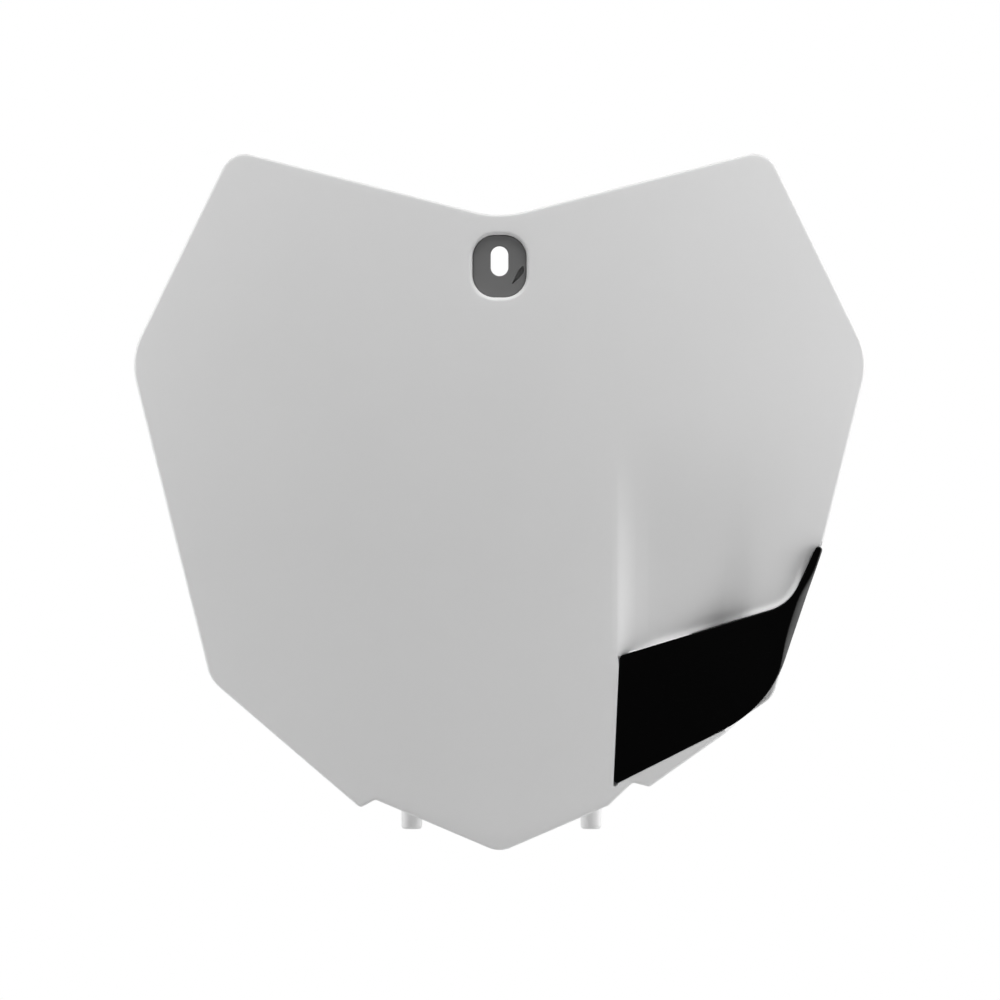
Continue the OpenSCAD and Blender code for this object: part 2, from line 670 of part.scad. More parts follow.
// Front loop of the guide: outer outline, and the face outline inside its softened edge
guide_soft = 0.5;
function guide_lower(ins) =
    let (
        low_l = corner_arc(guide_corners, ins, 0, even(2)),
        low_r = corner_arc(guide_corners, ins, 1, even(6)),
        end = corner_arc(guide_corners, ins, 2, even(2))
    )
    concat(low_l, between(last(low_l), low_r[0], inner(10)), low_r,
        between(last(low_r), end[0], inner(6)), end);
function guide_upper(ins) =
    let (
        end = corner_arc(guide_corners, ins, 3, even(2)),
        bend = corner_arc(guide_corners, ins, 4, even(5)),
        top_l = corner_arc(guide_corners, ins, 5, even(2)),
        run = concat(end, between(last(end), bend[0], inner(3)), bend,
            between(last(bend), top_l[0], inner(14)), top_l)
    )
    [for (k = [len(run) - 1:-1:0]) run[k]];
function proud(x) = lerp(guide_proud, tip_proud, ease((x - tip_from_x) / tip_run));
function guide_y(x, z) = bowed_y(x, z) - proud(x);
slim_share = 0.75;
slim_from_x = 104;
slim_run = 9;
function slim(x) = 1 - slim_share * ease((x - slim_from_x) / slim_run);
guide_rows = 6;
side_from = 13;
side_rise = 5;
side_fall = 3;

module guide_shell() {
    outer_ins = [0, 0, 0, 0, 0, 0];
    face_ins = [guide_soft, guide_edge_r, guide_soft, guide_soft, guide_soft, guide_soft];
    back_ins = even_insets(guide_corners, guide_t);
    lower = guide_lower(outer_ins);
    upper = guide_upper(outer_ins);
    nc = len(lower) - 1;
    function moved(p, q) = lerp(p, q, slim(p[0]));
    function pair(ins) =
        let (l = guide_lower(ins), u = guide_upper(ins))
        [[for (i = [0:nc]) moved(lower[i], l[i])], [for (i = [0:nc]) moved(upper[i], u[i])]];
    function loop_of(pr) = concat(
        pr[0], [for (j = [1:guide_rows - 1]) lerp(pr[0][nc], pr[1][nc], j / guide_rows)],
        [for (i = [nc:-1:0]) pr[1][i]],
        [for (j = [guide_rows - 1:-1:1]) lerp(pr[0][0], pr[1][0], j / guide_rows)]
    );
    face = pair(face_ins);
    back = pair(back_ins);
    rim_out = loop_of([lower, upper]);
    rim_face = loop_of(face);
    rim_back = loop_of(back);
    loop_n = len(rim_out);
    // The outer side wall reaches back to the seat, and the other edges are as thin as the face
    side_share = [for (k = [0:loop_n - 1])
        k <= nc ? ease((k - side_from) / side_rise) * ease((nc + 1 - k) / side_fall) : 0
    ];
    deep = [
        for (k = [0:loop_n - 1])
            let (
                p = rim_out[k],
                room = recess(p[0], p[1], 0) + proud(p[0]) - guide_gap
            )
            lerp(guide_t, clamp(room, guide_t, guide_side), side_share[k])
    ];
    turn = [for (k = [0:loop_n - 1]) min(norm(rim_out[k] - rim_face[k]), deep[k] - 0.4)];
    function at(p, d) = [p[0], guide_y(p[0], p[1]) + d, p[1]];
    loops = [
        for (a = [30, 60, 90])
            [for (k = [0:loop_n - 1]) at(lerp(rim_face[k], rim_out[k], sin(a)), turn[k] * (1 - cos(a)))],
        [for (k = [0:loop_n - 1]) at(rim_out[k], deep[k] - 0.2)],
        [for (k = [0:loop_n - 1]) at(lerp(rim_out[k], rim_back[k], 0.15), deep[k])],
        [for (k = [0:loop_n - 1]) at(lerp(rim_out[k], rim_back[k], 0.8), deep[k])],
    ];
    per = guide_rows + 1;
    sheet_n = (nc + 1) * per;
    function sheet(pr, d) = [
        for (i = [0:nc]) for (j = [0:guide_rows]) at(lerp(pr[0][i], pr[1][i], j / guide_rows), d)
    ];
    function edge_id(base, k) =
        k <= nc ? base + k * per
        : k < nc + guide_rows ? base + nc * per + (k - nc)
        : k <= 2 * nc + guide_rows ? base + (2 * nc + guide_rows - k) * per + guide_rows
        : base + (loop_n - k);
    function loop_id(l, k) =
        let (q = k % loop_n)
        l == 0 ? edge_id(0, q) : l == len(loops) + 1 ? edge_id(sheet_n, q)
        : 2 * sheet_n + (l - 1) * loop_n + q;
    function sheet_faces(base, flip) = [
        for (i = [0:nc - 1]) for (j = [0:guide_rows - 1])
            let (a = base + i * per + j, b = a + per, c = b + 1, d = a + 1)
            for (f = [[a, b, c], [a, c, d]]) flip ? f : [f[2], f[1], f[0]]
    ];
    rim_faces = [
        for (l = [0:len(loops)]) for (k = [0:loop_n - 1])
            let (a = loop_id(l, k), b = loop_id(l, k + 1), c = loop_id(l + 1, k + 1), d = loop_id(l + 1, k))
            for (f = [[a, b, c], [a, c, d]]) f
    ];
    polyhedron(
        concat(sheet(face, 0), sheet(back, guide_t), [for (l = loops) each l]),
        concat(sheet_faces(0, false), sheet_faces(sheet_n, true), rim_faces)
    );
}

module hose_guide() {
    color([0.03, 0.03, 0.03]) {
        guide_shell();
        for (p = hooks) hook(p);
    }
}

// Rubber bush that fills the pocket and grips its floor
neck_wall = 2.5;
neck_gap = 0.1;
neck_w = slot_w + 2 * neck_wall;
neck_h = slot_h + 2 * neck_wall;
rear_lip = 1.8;
crescent_r = 8.7;
crescent_in_r = 20;
crescent_w = 0.85;
crescent_deep = 0.8;
crescent_turn = -32;
module top_grommet() {
    face_w = pocket_w - 2 * grommet_gap;
    face_h = pocket_h - 2 * grommet_gap;
    color([0.36, 0.36, 0.36]) difference() {
        union() {
            translate([0, 0, pocket_centre_z]) rounded_block(face_w, face_h, pocket_r - grommet_gap,
                pocket_floor_y - grommet_face, pocket_floor_y);
            slot_block(neck_w, neck_h, pocket_floor_y - 1, -rear_flange + 1);
            slot_block(neck_w + 2 * rear_lip, neck_h + 2 * rear_lip, -rear_flange, 0);
        }
        slot_block(slot_w, slot_h, pocket_floor_y - grommet_face - 1, 1);
        translate([0, pocket_floor_y - grommet_face, pocket_centre_z]) rotate([90, 0, 0])
            rotate(crescent_turn) translate([0, 0, -crescent_deep]) difference() {
                cylinder(h = 2 * crescent_deep, r = crescent_r, $fn = 64);
                translate([crescent_r - crescent_w - crescent_in_r, 0, -crescent_deep])
                    cylinder(h = 4 * crescent_deep, r = crescent_in_r, $fn = 128);
            }
    }
}

plate();
hose_guide();
top_grommet();
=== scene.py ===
"""White front number board of an off-road motorcycle, with its black hose guide and rubber bush.

Shapes are worked out in millimetres, with X to the right, Y to the rear and Z up, from the middle of the
fixing slot. They become metres where a mesh is made.
"""
import math

import bpy
import numpy as np
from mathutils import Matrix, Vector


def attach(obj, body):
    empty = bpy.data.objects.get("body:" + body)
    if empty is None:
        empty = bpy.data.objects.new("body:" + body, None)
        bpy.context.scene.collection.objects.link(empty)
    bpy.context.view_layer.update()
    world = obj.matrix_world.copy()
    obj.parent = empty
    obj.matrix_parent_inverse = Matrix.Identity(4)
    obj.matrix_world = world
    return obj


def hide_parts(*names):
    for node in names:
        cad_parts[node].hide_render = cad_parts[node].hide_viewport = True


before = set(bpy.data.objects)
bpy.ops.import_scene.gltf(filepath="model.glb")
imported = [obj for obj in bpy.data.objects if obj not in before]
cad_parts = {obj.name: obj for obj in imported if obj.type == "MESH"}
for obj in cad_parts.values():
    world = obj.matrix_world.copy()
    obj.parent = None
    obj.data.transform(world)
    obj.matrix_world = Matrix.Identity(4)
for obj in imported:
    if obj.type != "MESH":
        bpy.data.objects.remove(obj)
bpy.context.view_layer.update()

MM = 0.001

# Sizes are in millimetres. Radii end in R, widths in W, heights in H and wall thicknesses in T.

# Outline of the board: half widths, and rises and drops from the fixing slot
TOP_HALF_W = 96.6
TOP_RISE = 40.6
DIP_RISE = 15.3
SIDE_HALF_W = 133.3
SIDE_DROP = 34.5
LOW_HALF_W = 103.9
LOW_DROP = 150.2
TIP_DROP = 211.9
TOP_R = 9
DIP_R = 38
SIDE_R = 24
LOW_R = 13
HOSE_LOW_R = 10
TIP_R = 10
SMALL_R = 1.8
BEND_R = 3
REBATE_R = 0.8
LEAST_R = 0.3
REBATE_TOP_Z = -104.3
REBATE_TOP_X = SIDE_HALF_W + (LOW_HALF_W - SIDE_HALF_W) * (REBATE_TOP_Z + SIDE_DROP) / (SIDE_DROP - LOW_DROP)

# Corners of the board, counterclockwise from the left widest one: x, z, radius
PLATE_CORNERS = np.array([
    [-SIDE_HALF_W, -SIDE_DROP, SIDE_R],
    [-LOW_HALF_W, -LOW_DROP, LOW_R],
    [-49.9, -196, SMALL_R],
    [-44.5, -193, SMALL_R],
    [0, -TIP_DROP, TIP_R],
    [39.1, -195.1, SMALL_R],
    [47.7, -186.9, SMALL_R],
    [53.8, -188.5, SMALL_R],
    [81.3, -169.2, BEND_R],
    [87.5, -164.2, BEND_R],
    [98.6, -156.4, HOSE_LOW_R],
    [112.9, -106.8, REBATE_R],
    [REBATE_TOP_X, REBATE_TOP_Z, REBATE_R],
    [SIDE_HALF_W, -SIDE_DROP, SIDE_R],
    [TOP_HALF_W, TOP_RISE, TOP_R],
    [0, DIP_RISE, DIP_R],
    [-TOP_HALF_W, TOP_RISE, TOP_R],
])
AT_SIDE_L, AT_LOW_L, AT_SPUR_L, AT_NOTCH_L, AT_TIP = range(5)
AT_STEP_R, AT_NOTCH_R, AT_SPUR_R, AT_BEND_R, AT_HOSE_R, AT_LOW_R = range(5, 11)
AT_REBATE_LOW, AT_REBATE_TOP, AT_SIDE_R, AT_TOP_R = range(11, 15)

# Sheet: its wall, its rolled edge with the turned-back rim, its bow from side to side and its lean
SHEET_T = 2.4
EDGE_R = 0.9
EDGE_DEPTH = 6.5
RIM_SOFT = 0.4
BACK_FILLET = 1.2
BOW_R = 380
LEAN_TOP_R = 700
LEAN_LOW_R = 1300
FACE_Y0 = -9.4
MIDDLE_Z = -95.7

# Hose recess: its upright edge, the open scoop, and the dive beside the hose
CREASE_X = 42.2
CREASE_SOFT = 1.0
CREASE_REACH = 8
SCOOP_DEPTH = 5.4
SCOOP_TOP = -56
SCOOP_LOW = -140
SCOOP_RUN = 6.8
SCOOP_FALL = 0.5
SCOOP_FALL_X = (56, 112)
DIVE_DEPTH = 4
DIVE_RUN = 16
DIVE_X = 81.5
DIVE_LEFT = 11
DIVE_RIGHT = 7
TIP_DENT = (112, -112)
TIP_DENT_RUN = 9

# Ledge under the guide, with the channel for the hose, and the strip of board below the guide
SEAT_DEPTH = 2.8
SEAT_SIDE_DEPTH = 5.5
SEAT_SIDE_X = (84, 110)
SEAT_GAP = 0.15
SEAT_R = 1.9
WALL_RUN = 0.2
CHANNEL_DEPTH = 10
CHANNEL_LOW = (86, -168)
CHANNEL_TOP_Z = -130
CHANNEL_RUN = 9
STRIP_FALL = 0.11
STRIP_FROM_X = 44
STRIP_RUN = 3

# Lip along the guide's top edge: its rise left and right of the hose, and where it eases in and out
LIP_RISE = (0.9, 1.3)
LIP_LEAST = 0.5
LIP_MID = -0.4
LIP_HALF = 1.6
LIP_FOOT = 3.2
LIP_FROM_X = 48
LIP_GAP_X = (77, 85)
LIP_END_X = 110.5
LIP_EASE = (10, 6, 7, 4)

# Guide: corners counterclockwise from the lower left, as x, z, radius
GUIDE_CORNERS = np.array([
    [40.9, -187.7, 1],
    [96.9, -159.9, 44],
    [116.6, -102.4, 1.25],
    [113.9, -102.5, 1.25],
    [104.1, -123.2, 16],
    [43, -141.4, 1.8],
])
FOOT_LEFT, FOOT_RIGHT, TIP_OUTER, TIP_END, TOP_BEND, TOP_LEFT = GUIDE_CORNERS
FOOT_SLOPE = (FOOT_RIGHT[1] - FOOT_LEFT[1]) / (FOOT_RIGHT[0] - FOOT_LEFT[0])
LEFT_SLOPE = (TOP_LEFT[0] - FOOT_LEFT[0]) / (TOP_LEFT[1] - FOOT_LEFT[1])

# Guide: its wall, its edges, its side wall and band, and how proud its face stands
GUIDE_T = 2
GUIDE_EDGE_R = 2.9
GUIDE_SOFT = 0.5
GUIDE_SIDE = 6.5
GUIDE_GAP = 0.4
GUIDE_BACK_SOFT = 0.4
BAND_END_X = 109.8
BAND_END_RUN = 4.5
BAND_LOW_Z = -153
BAND_LOW_RUN = 26
GUIDE_PROUD = 0.2
TIP_PROUD = 0.8
TIP_FROM_X = 96
TIP_RUN = 14

# Snap hooks of the guide: x and z of each, a stem with a barb, and a shoulder that rests on the ledge
HOOKS = ((50, -153), (51, -176), (95.5, -137))
HOOK_W = 5
HOOK_T = 1.8
HOOK_START = 1.3
HOOK_GAP = 0.35
HOOK_PLAY = 0.3
BARB = 1
BARB_LEN = 2.6
BARB_FLAT = 0.6
SHOULDER = 2
SHOULDER_T = 1.8
SHOULDER_PLAY = 0.15
HOOK_REACH = (3.4, 2.2)
WINDOW_REACH = 3

# The middle of a softened corner lies inside its sharp corner by this share of its radius
SOFT_MIDDLE = 0.3

# Pocket and its floor, with the roll round its mouth and the fillet behind it
REAR_FLANGE = 2
FLOOR_T = 2.4
POCKET_FLOOR_Y = -REAR_FLANGE - FLOOR_T
POCKET_W = 19.4
POCKET_H = 22.5
POCKET_R = 8.1
MOUTH_R = 1.5
MOUTH_STEPS = 7
MOUTH_ROWS = (0.33, 0.67)
POCKET_SOFT = 0.4
POCKET_FILLET = 1
FILLET_ROW = 0.1
POCKET_Z = -1.9
WINDOW_X = 14.5

# Bush: the slot, the neck through the pocket's floor, the rear lip, the face and its small slit
SLOT_W = 6.3
SLOT_H = 10.8
NECK_WALL = 2.5
NECK_GAP = 0.1
NECK_W = SLOT_W + 2 * NECK_WALL
NECK_H = SLOT_H + 2 * NECK_WALL
REAR_LIP = 1.8
BUSH_GAP = 0.05
BUSH_FACE = 2
BUSH_SOFT = 0.6
SLOT_SOFT = 0.3
LEAF_TOP = (8.5, -2.2)
LEAF_END = (4.6, -8.3)
LEAF_W = 1.6
LEAF_BOW = 0.3
LEAF_DEPTH = 1.6
LEAF_SOFT = 0.4

# Pegs with their thicker roots, webs and shelves
PEG_D = 7.5
PEG_X = 32.2
PEG_SHIFT = 0.7
PEG_DROP = 203.9
PEG_Y = 1.2
PEG_LEN = 14
PEG_SOFT = 1.3
PEG_ROOT_D = PEG_D + 2.4
PEG_ROOT_LEN = 10
PEG_ROOT_SOFT = 0.4
WEB_T = 3
PEG_STEP = 0.3
PEG_STEP_OUT = 0.1
WEB_RISE = 22
WEB_BEND = 8
WEB_FOOT = 1
WEB_HEAD = 2
SHELF_HALF_W = 8
SHELF_BELOW = 4
SHELF_END = 2 / 3

# Ribs of the pocket, and how deep all webs begin inside the sheet
RIB_T = 2
RIB_DROP = 26
RIB_REACH = 22
ROOT = 1.2
END_RISE = 0.6

# Steps of the sheet's mesh along the outline
SIDE_STEPS = 8
SIDE_RUN = 34
LOW_STEPS = 10
OUTER_STEPS = 6
OUTER_X = 89
SPUR_STEPS = 5
NOTCH_STEPS = 4
STEP_STEPS = 3
TIP_STEPS = 8
BEND_STEPS = 4
REBATE_STEPS = 2
REBATE_RUN = 16
SPUR_RUN = 18
PEG_RUN = 13
WINDOW_HALF = 6
FLAT_RUN = 4
TOP_SIDE_STEPS = 12
TOP_RUN_STEPS = 26
TOP_STEPS = 20
BEFORE_CREASE = 0.35
AFTER_CREASE = (0.45, 0.7, 1, 1.4, 1.9, 2.5)

# Steps of the sheet's mesh upwards, and the shares of the open height where the pocket's window lies
ROWS_STRIP = 4
ROWS_BELOW = 14
ROWS_WALL = 4
ROWS_OPEN = 30
OPEN_POWER = 1.6
LIP_ROWS = (0.08, 0.2, 0.35, 0.5, 0.72, 1)
WINDOW_STEPS = 20
WINDOW_LOW = 0.785
WINDOW_TOP = 0.9915

# Limits that keep the rows apart in short columns, as shares of a column's height
EDGE_TRIES = 12
EDGE_FIRST = 0.2
EDGE_LIMITS = (0.012, 0.7)
FOOT_LIMITS = (0.02, 0.6)
WALL_LIMIT = 0.1
LIP_LIMIT = 0.2
FREE_RATE = 40


# Small functions

def lerp(a, b, f):
    """Straight blend: a + (b - a) f."""
    return a + (b - a) * f


def ease(f):
    """Smooth step: 3 f squared less 2 f cubed, with f held between 0 and 1."""
    c = np.clip(f, 0, 1)
    return c * c * (3 - 2 * c)


def bell(d, run):
    """Bell curve: e to the power of minus (d / run) squared."""
    return np.exp(-(d / run) ** 2)


def arc_sag(r, d):
    """Sag of a circular arc of radius r at distance d from its middle: r less the root of r2 - d2."""
    return r - np.sqrt(r * r - d * d)


def even(n):
    """Shares from 0 to 1 in n equal steps, with both ends."""
    return np.arange(n + 1) / n


def inner(n):
    """The n shares that part 0 to 1 evenly, without the ends."""
    return np.arange(1, n + 1) / (n + 1)


def between(a, b, fractions):
    """Points on the straight line from a to b."""
    return a + (b - a) * np.asarray(fractions)[:, None]


def at_x(a, b, x):
    """Point on the straight line through a and b whose first coordinate is x."""
    return a + (b - a) * (x - a[0]) / (b[0] - a[0])


def unit(v):
    return v / np.hypot(*v)


def corner_arc(corners, insets, k, fractions):
    """Rounded corner k of a closed outline whose edge k is moved in by insets[k].

    The corner point moves to where the two moved edges cross. The arc starts r tan(turn / 2) before it and
    turns about a centre r to the side, through the given fractions of the turn.
    """
    p, q, s = corners[k - 1], corners[k], corners[(k + 1) % len(corners)]
    d1, d2 = unit(q[:2] - p[:2]), unit(s[:2] - q[:2])
    n1, n2 = np.array([-d1[1], d1[0]]), np.array([-d2[1], d2[0]])
    co = n1 @ n2
    a1, a2 = insets[k - 1], insets[k]
    v = q[:2] + (n1 * (a1 - a2 * co) + n2 * (a2 - a1 * co)) / (1 - co * co)
    side = np.sign(d1[0] * d2[1] - d1[1] * d2[0])
    r = max(q[2] - side * (a1 + a2) / 2, LEAST_R)
    turn = math.acos(co)
    centre = v - d1 * r * math.tan(turn / 2) + n1 * side * r
    a = side * turn * np.asarray(fractions)
    spoke = np.stack([n1[0] * np.cos(a) - n1[1] * np.sin(a), n1[0] * np.sin(a) + n1[1] * np.cos(a)], 1)
    return centre - spoke * side * r


def rounded_ring(w, h, r, per, z, side=0):
    """Rounded rectangle as 4 quarter arcs of per points, with side points on each straight part, from the
    middle of the lower left arc round."""
    a = np.concatenate([np.radians(start + 90 * even(per - 1)) for start in (180, 270, 0, 90)])
    sx = np.repeat([-1, 1, 1, -1], per) * (w / 2 - r)
    sz = np.repeat([-1, -1, 1, 1], per) * (h / 2 - r)
    arcs = np.stack([sx + r * np.cos(a), z + sz + r * np.sin(a)], 1).reshape(4, per, 2)
    straights = [between(arcs[k][-1], arcs[(k + 1) % 4][0], inner(side)) for k in range(4)]
    ring = np.concatenate([part for pair in zip(arcs, straights) for part in pair])
    return np.roll(ring, -(per // 2), 0)


def grid_faces(ids):
    """Four-cornered faces between neighbouring rows and columns of a grid of vertex numbers."""
    return np.stack([ids[:-1, :-1], ids[1:, :-1], ids[1:, 1:], ids[:-1, 1:]], -1).reshape(-1, 4)


def band_faces(loops):
    """Faces between closed loops of vertex numbers, one loop a row."""
    return grid_faces(np.concatenate([loops, loops[:, :1]], 1).T)


def tidy_faces(quads):
    """Splits off the faces with a repeated corner, at the poles, as triangles."""
    same = quads == np.roll(quads, -1, 1)
    flat = same.any(1)
    return quads[~flat].tolist() + quads[flat][~same[flat]].reshape(-1, 3).tolist()


def make_piece(name, points, faces, slot, material, node, sharp=35, bevel=0):
    """Puts points in millimetres and faces into a mesh that rides on the root body."""
    mesh = bpy.data.meshes.new(name)
    mesh.from_pydata((np.asarray(points) * MM).tolist(), [], faces)
    mesh.validate()
    mesh.shade_smooth()
    mesh.set_sharp_from_angle(angle=math.radians(sharp))
    piece = bpy.data.objects.new(name, mesh)
    bpy.context.scene.collection.objects.link(piece)
    mesh.materials.append(material)
    if bevel:
        soft = piece.modifiers.new("soft_edges", "BEVEL")
        soft.width, soft.segments, soft.limit_method = bevel * MM, 2, "ANGLE"
    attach(piece, "root")
    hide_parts(node)
    return piece


def join_parts(parts):
    """Adds (points, faces) parts up into one list of points and one of faces."""
    points, faces, base = [], [], 0
    for p, f in parts:
        points.append(p)
        faces += [[base + c for c in face] for face in f]
        base += len(p)
    return np.concatenate(points), faces


def prism(ring_a, ring_b):
    """Straight prism between two equal outlines, closed by a flat face at each end."""
    n = len(ring_a)
    ids = np.arange(2 * n).reshape(2, n)
    faces = band_faces(ids).tolist() + [list(range(n)), list(range(2 * n - 1, n - 1, -1))]
    points = np.concatenate([ring_a, ring_b])
    centre = points.mean(0)
    first = points[faces[0]]
    normal = np.cross(first[1] - first[0], first[2] - first[0])
    outward = normal @ (first.mean(0) - centre) > 0
    return points, faces if outward else [f[::-1] for f in faces]


def upright_web(x, t, outline):
    """Web of thickness t across X, from an outline in depth and height."""
    yz = np.array(outline, float)
    a, b = (np.column_stack([np.full(len(yz), v), yz]) for v in (x - t / 2, x + t / 2))
    return prism(a, b)


def lying_web(z, t, outline):
    """Web of thickness t across Z, from an outline in width and depth."""
    xy = np.array(outline, float)
    a, b = (np.column_stack([xy, np.full(len(xy), v)]) for v in (z - t / 2, z + t / 2))
    return prism(a, b)


# The white sheet

def lean(z):
    """Sag above or below the middle of the face, each on its own radius."""
    r = np.where(z > MIDDLE_Z, LEAN_TOP_R, LEAN_LOW_R)
    return arc_sag(r, z - MIDDLE_Z)


def bowed_y(x, z):
    """Depth of the bowed face: its depth at the slot, plus the sag across, plus the lean."""
    return FACE_Y0 + arc_sag(BOW_R, x) + lean(z) - lean(0)


# The guide's top edge: a slope, an arc from BEND_START to BEND_END, then a steeper slope up to the tip
TOP_SLOPE = (TOP_BEND[1] - TOP_LEFT[1]) / (TOP_BEND[0] - TOP_LEFT[0])
TIP_SLOPE = (TIP_END[1] - TOP_BEND[1]) / (TIP_END[0] - TOP_BEND[0])
TOP_TILT, TIP_TILT = math.atan(TOP_SLOPE), math.atan(TIP_SLOPE)
BEND_REACH = TOP_BEND[2] * math.tan((TIP_TILT - TOP_TILT) / 2)
BEND_START = TOP_BEND[0] - BEND_REACH * math.cos(TOP_TILT)
BEND_END = TOP_BEND[0] + BEND_REACH * math.cos(TIP_TILT)
BEND_X = BEND_START - TOP_BEND[2] * math.sin(TOP_TILT)
BEND_Z = TOP_BEND[1] - BEND_REACH * math.sin(TOP_TILT) + TOP_BEND[2] * math.cos(TOP_TILT)


def guide_line(x):
    """Height of the guide's top edge: a slope, an arc, then a steeper slope up to the height of the tip."""
    low = TOP_BEND[1] + TOP_SLOPE * (np.maximum(x, TOP_LEFT[0]) - TOP_BEND[0])
    arc = BEND_Z - np.sqrt(np.maximum(TOP_BEND[2] ** 2 - (x - BEND_X) ** 2, 0))
    steep = np.minimum(TOP_BEND[1] + TIP_SLOPE * (x - TOP_BEND[0]), TIP_OUTER[1])
    return np.where(x < BEND_START, low, np.where(x < BEND_END, arc, steep))


def guide_slope(x):
    """Slope of the guide's top edge, which on an arc is the tangent of the angle whose sine is the distance
    from the arc's middle over its radius."""
    sine = np.clip((x - BEND_X) / TOP_BEND[2], math.sin(TOP_TILT), math.sin(TIP_TILT))
    return np.tan(np.arcsin(sine))


def guide_foot(x):
    """Height of the guide's lower edge, a straight slope."""
    return FOOT_LEFT[1] + FOOT_SLOPE * (x - FOOT_LEFT[0])


def guide_left(z):
    """Place of the guide's left edge, a straight line that leans a little."""
    return FOOT_LEFT[0] + LEFT_SLOPE * (z - FOOT_LEFT[1])


CREASE_LOW_X = guide_left(PLATE_CORNERS[AT_STEP_R][1]) - SEAT_GAP


def crease_at(z):
    """Place of the recess's edge: upright above the guide, and along the guide's left edge beside it."""
    above = np.clip((z - TOP_LEFT[1] + SEAT_R) / (SEAT_R + SEAT_GAP), 0, 1)
    return lerp(guide_left(z) - SEAT_GAP, CREASE_X, above)


def scoop(x, z, w, u):
    """Depth of the open recess at a height w above the guide and a distance u from the upright edge.

    It deepens downwards, less so towards the outer side, with a dive beside the hose that dies away with the
    height as an exponential, and a small dent near the guide's tip. From the upright edge it grows as a
    hyperbolic tangent of the distance.
    """
    dive = np.exp(-w / DIVE_RUN) * bell(x - DIVE_X, np.where(x < DIVE_X, DIVE_LEFT, DIVE_RIGHT))
    dent = bell(np.hypot(x - TIP_DENT[0], z - TIP_DENT[1]), TIP_DENT_RUN)
    down = ease((SCOOP_TOP - z) / (SCOOP_TOP - SCOOP_LOW))
    fall = 1 - SCOOP_FALL * ease((x - SCOOP_FALL_X[0]) / (SCOOP_FALL_X[1] - SCOOP_FALL_X[0]))
    return np.tanh(u / SCOOP_RUN) * (SCOOP_DEPTH * down * fall + DIVE_DEPTH * dive + dent)


def seat(x, z):
    """Ledge under the guide, deeper at the outer side, with the hose channel across it."""
    rise = np.clip((z - CHANNEL_LOW[1]) / (CHANNEL_TOP_Z - CHANNEL_LOW[1]), 0, 1)
    side = ease((x - SEAT_SIDE_X[0]) / (SEAT_SIDE_X[1] - SEAT_SIDE_X[0]))
    off = x - lerp(CHANNEL_LOW[0], DIVE_X, rise)
    channel = bell(off, np.where(off < 0, lerp(CHANNEL_RUN, DIVE_LEFT, rise), CHANNEL_RUN))
    return lerp(SEAT_DEPTH, SEAT_SIDE_DEPTH, side) + CHANNEL_DEPTH * channel


def lip(x, w):
    """Height of the lip along the guide's top edge: a bell curve of the distance from the edge, lower where
    the hose dives, and eased in and out at its ends."""
    off = w / np.sqrt(1 + guide_slope(x) ** 2)
    ends = ease((x - LIP_FROM_X) / LIP_EASE[0]) * ease((LIP_END_X - x) / LIP_EASE[3])
    left = lerp(LIP_LEAST, LIP_RISE[0], ease((LIP_GAP_X[0] - x) / LIP_EASE[1]))
    right = lerp(LIP_LEAST, LIP_RISE[1], ease((x - LIP_GAP_X[1]) / LIP_EASE[2]))
    return bell(off - LIP_MID, LIP_HALF) * ends * np.maximum(left, right)


def recess(x, z, grow):
    """Depth of the recess: the scoop above the guide's top edge, and the ledge inside the guide's outline.

    The ledge's corner is rounded: its distance from the walls is taken from a circle of radius SEAT_R.
    grow moves the steep walls outward, for the rear of the sheet.
    """
    u = x - crease_at(z) + grow
    w = z - guide_line(x) - SEAT_GAP - grow
    soft_u = (u + np.sqrt(u * u + CREASE_SOFT ** 2)) / 2
    over = scoop(x, z, np.maximum(w, 0), soft_u) * ease(1 + w / SEAT_R)
    lift = 0 if grow > 0 else np.minimum(lip(x, w), over)
    side = x - guide_left(z) + SEAT_GAP + grow
    corner = SEAT_R - np.hypot(np.maximum(SEAT_R - side, 0), np.maximum(SEAT_R + w, 0))
    inside = np.where((side < SEAT_R) & (-w < SEAT_R), corner, np.minimum(side, -w))
    inside = np.minimum(inside, z - guide_foot(x) + SEAT_GAP + grow)
    return lerp(over - lift, seat(x, z), np.clip(inside / WALL_RUN, 0, 1))


def front_y(x, z, grow=0.0):
    """Depth of the white face: the bow, the recess, and the strip below the guide that leans back."""
    x, z = np.asarray(x, float), np.asarray(z, float)
    fall = STRIP_FALL * np.maximum(guide_foot(x) - z, 0) * ease((x - STRIP_FROM_X) / STRIP_RUN)
    return bowed_y(x, z) + recess(x, z, grow) + fall


def side_split():
    """Share of the side corner's turn that belongs to the upper side."""
    up = math.atan((SIDE_HALF_W - TOP_HALF_W) / (SIDE_DROP + TOP_RISE))
    down = math.atan((SIDE_HALF_W - LOW_HALF_W) / (LOW_DROP - SIDE_DROP))
    return up / (up + down)


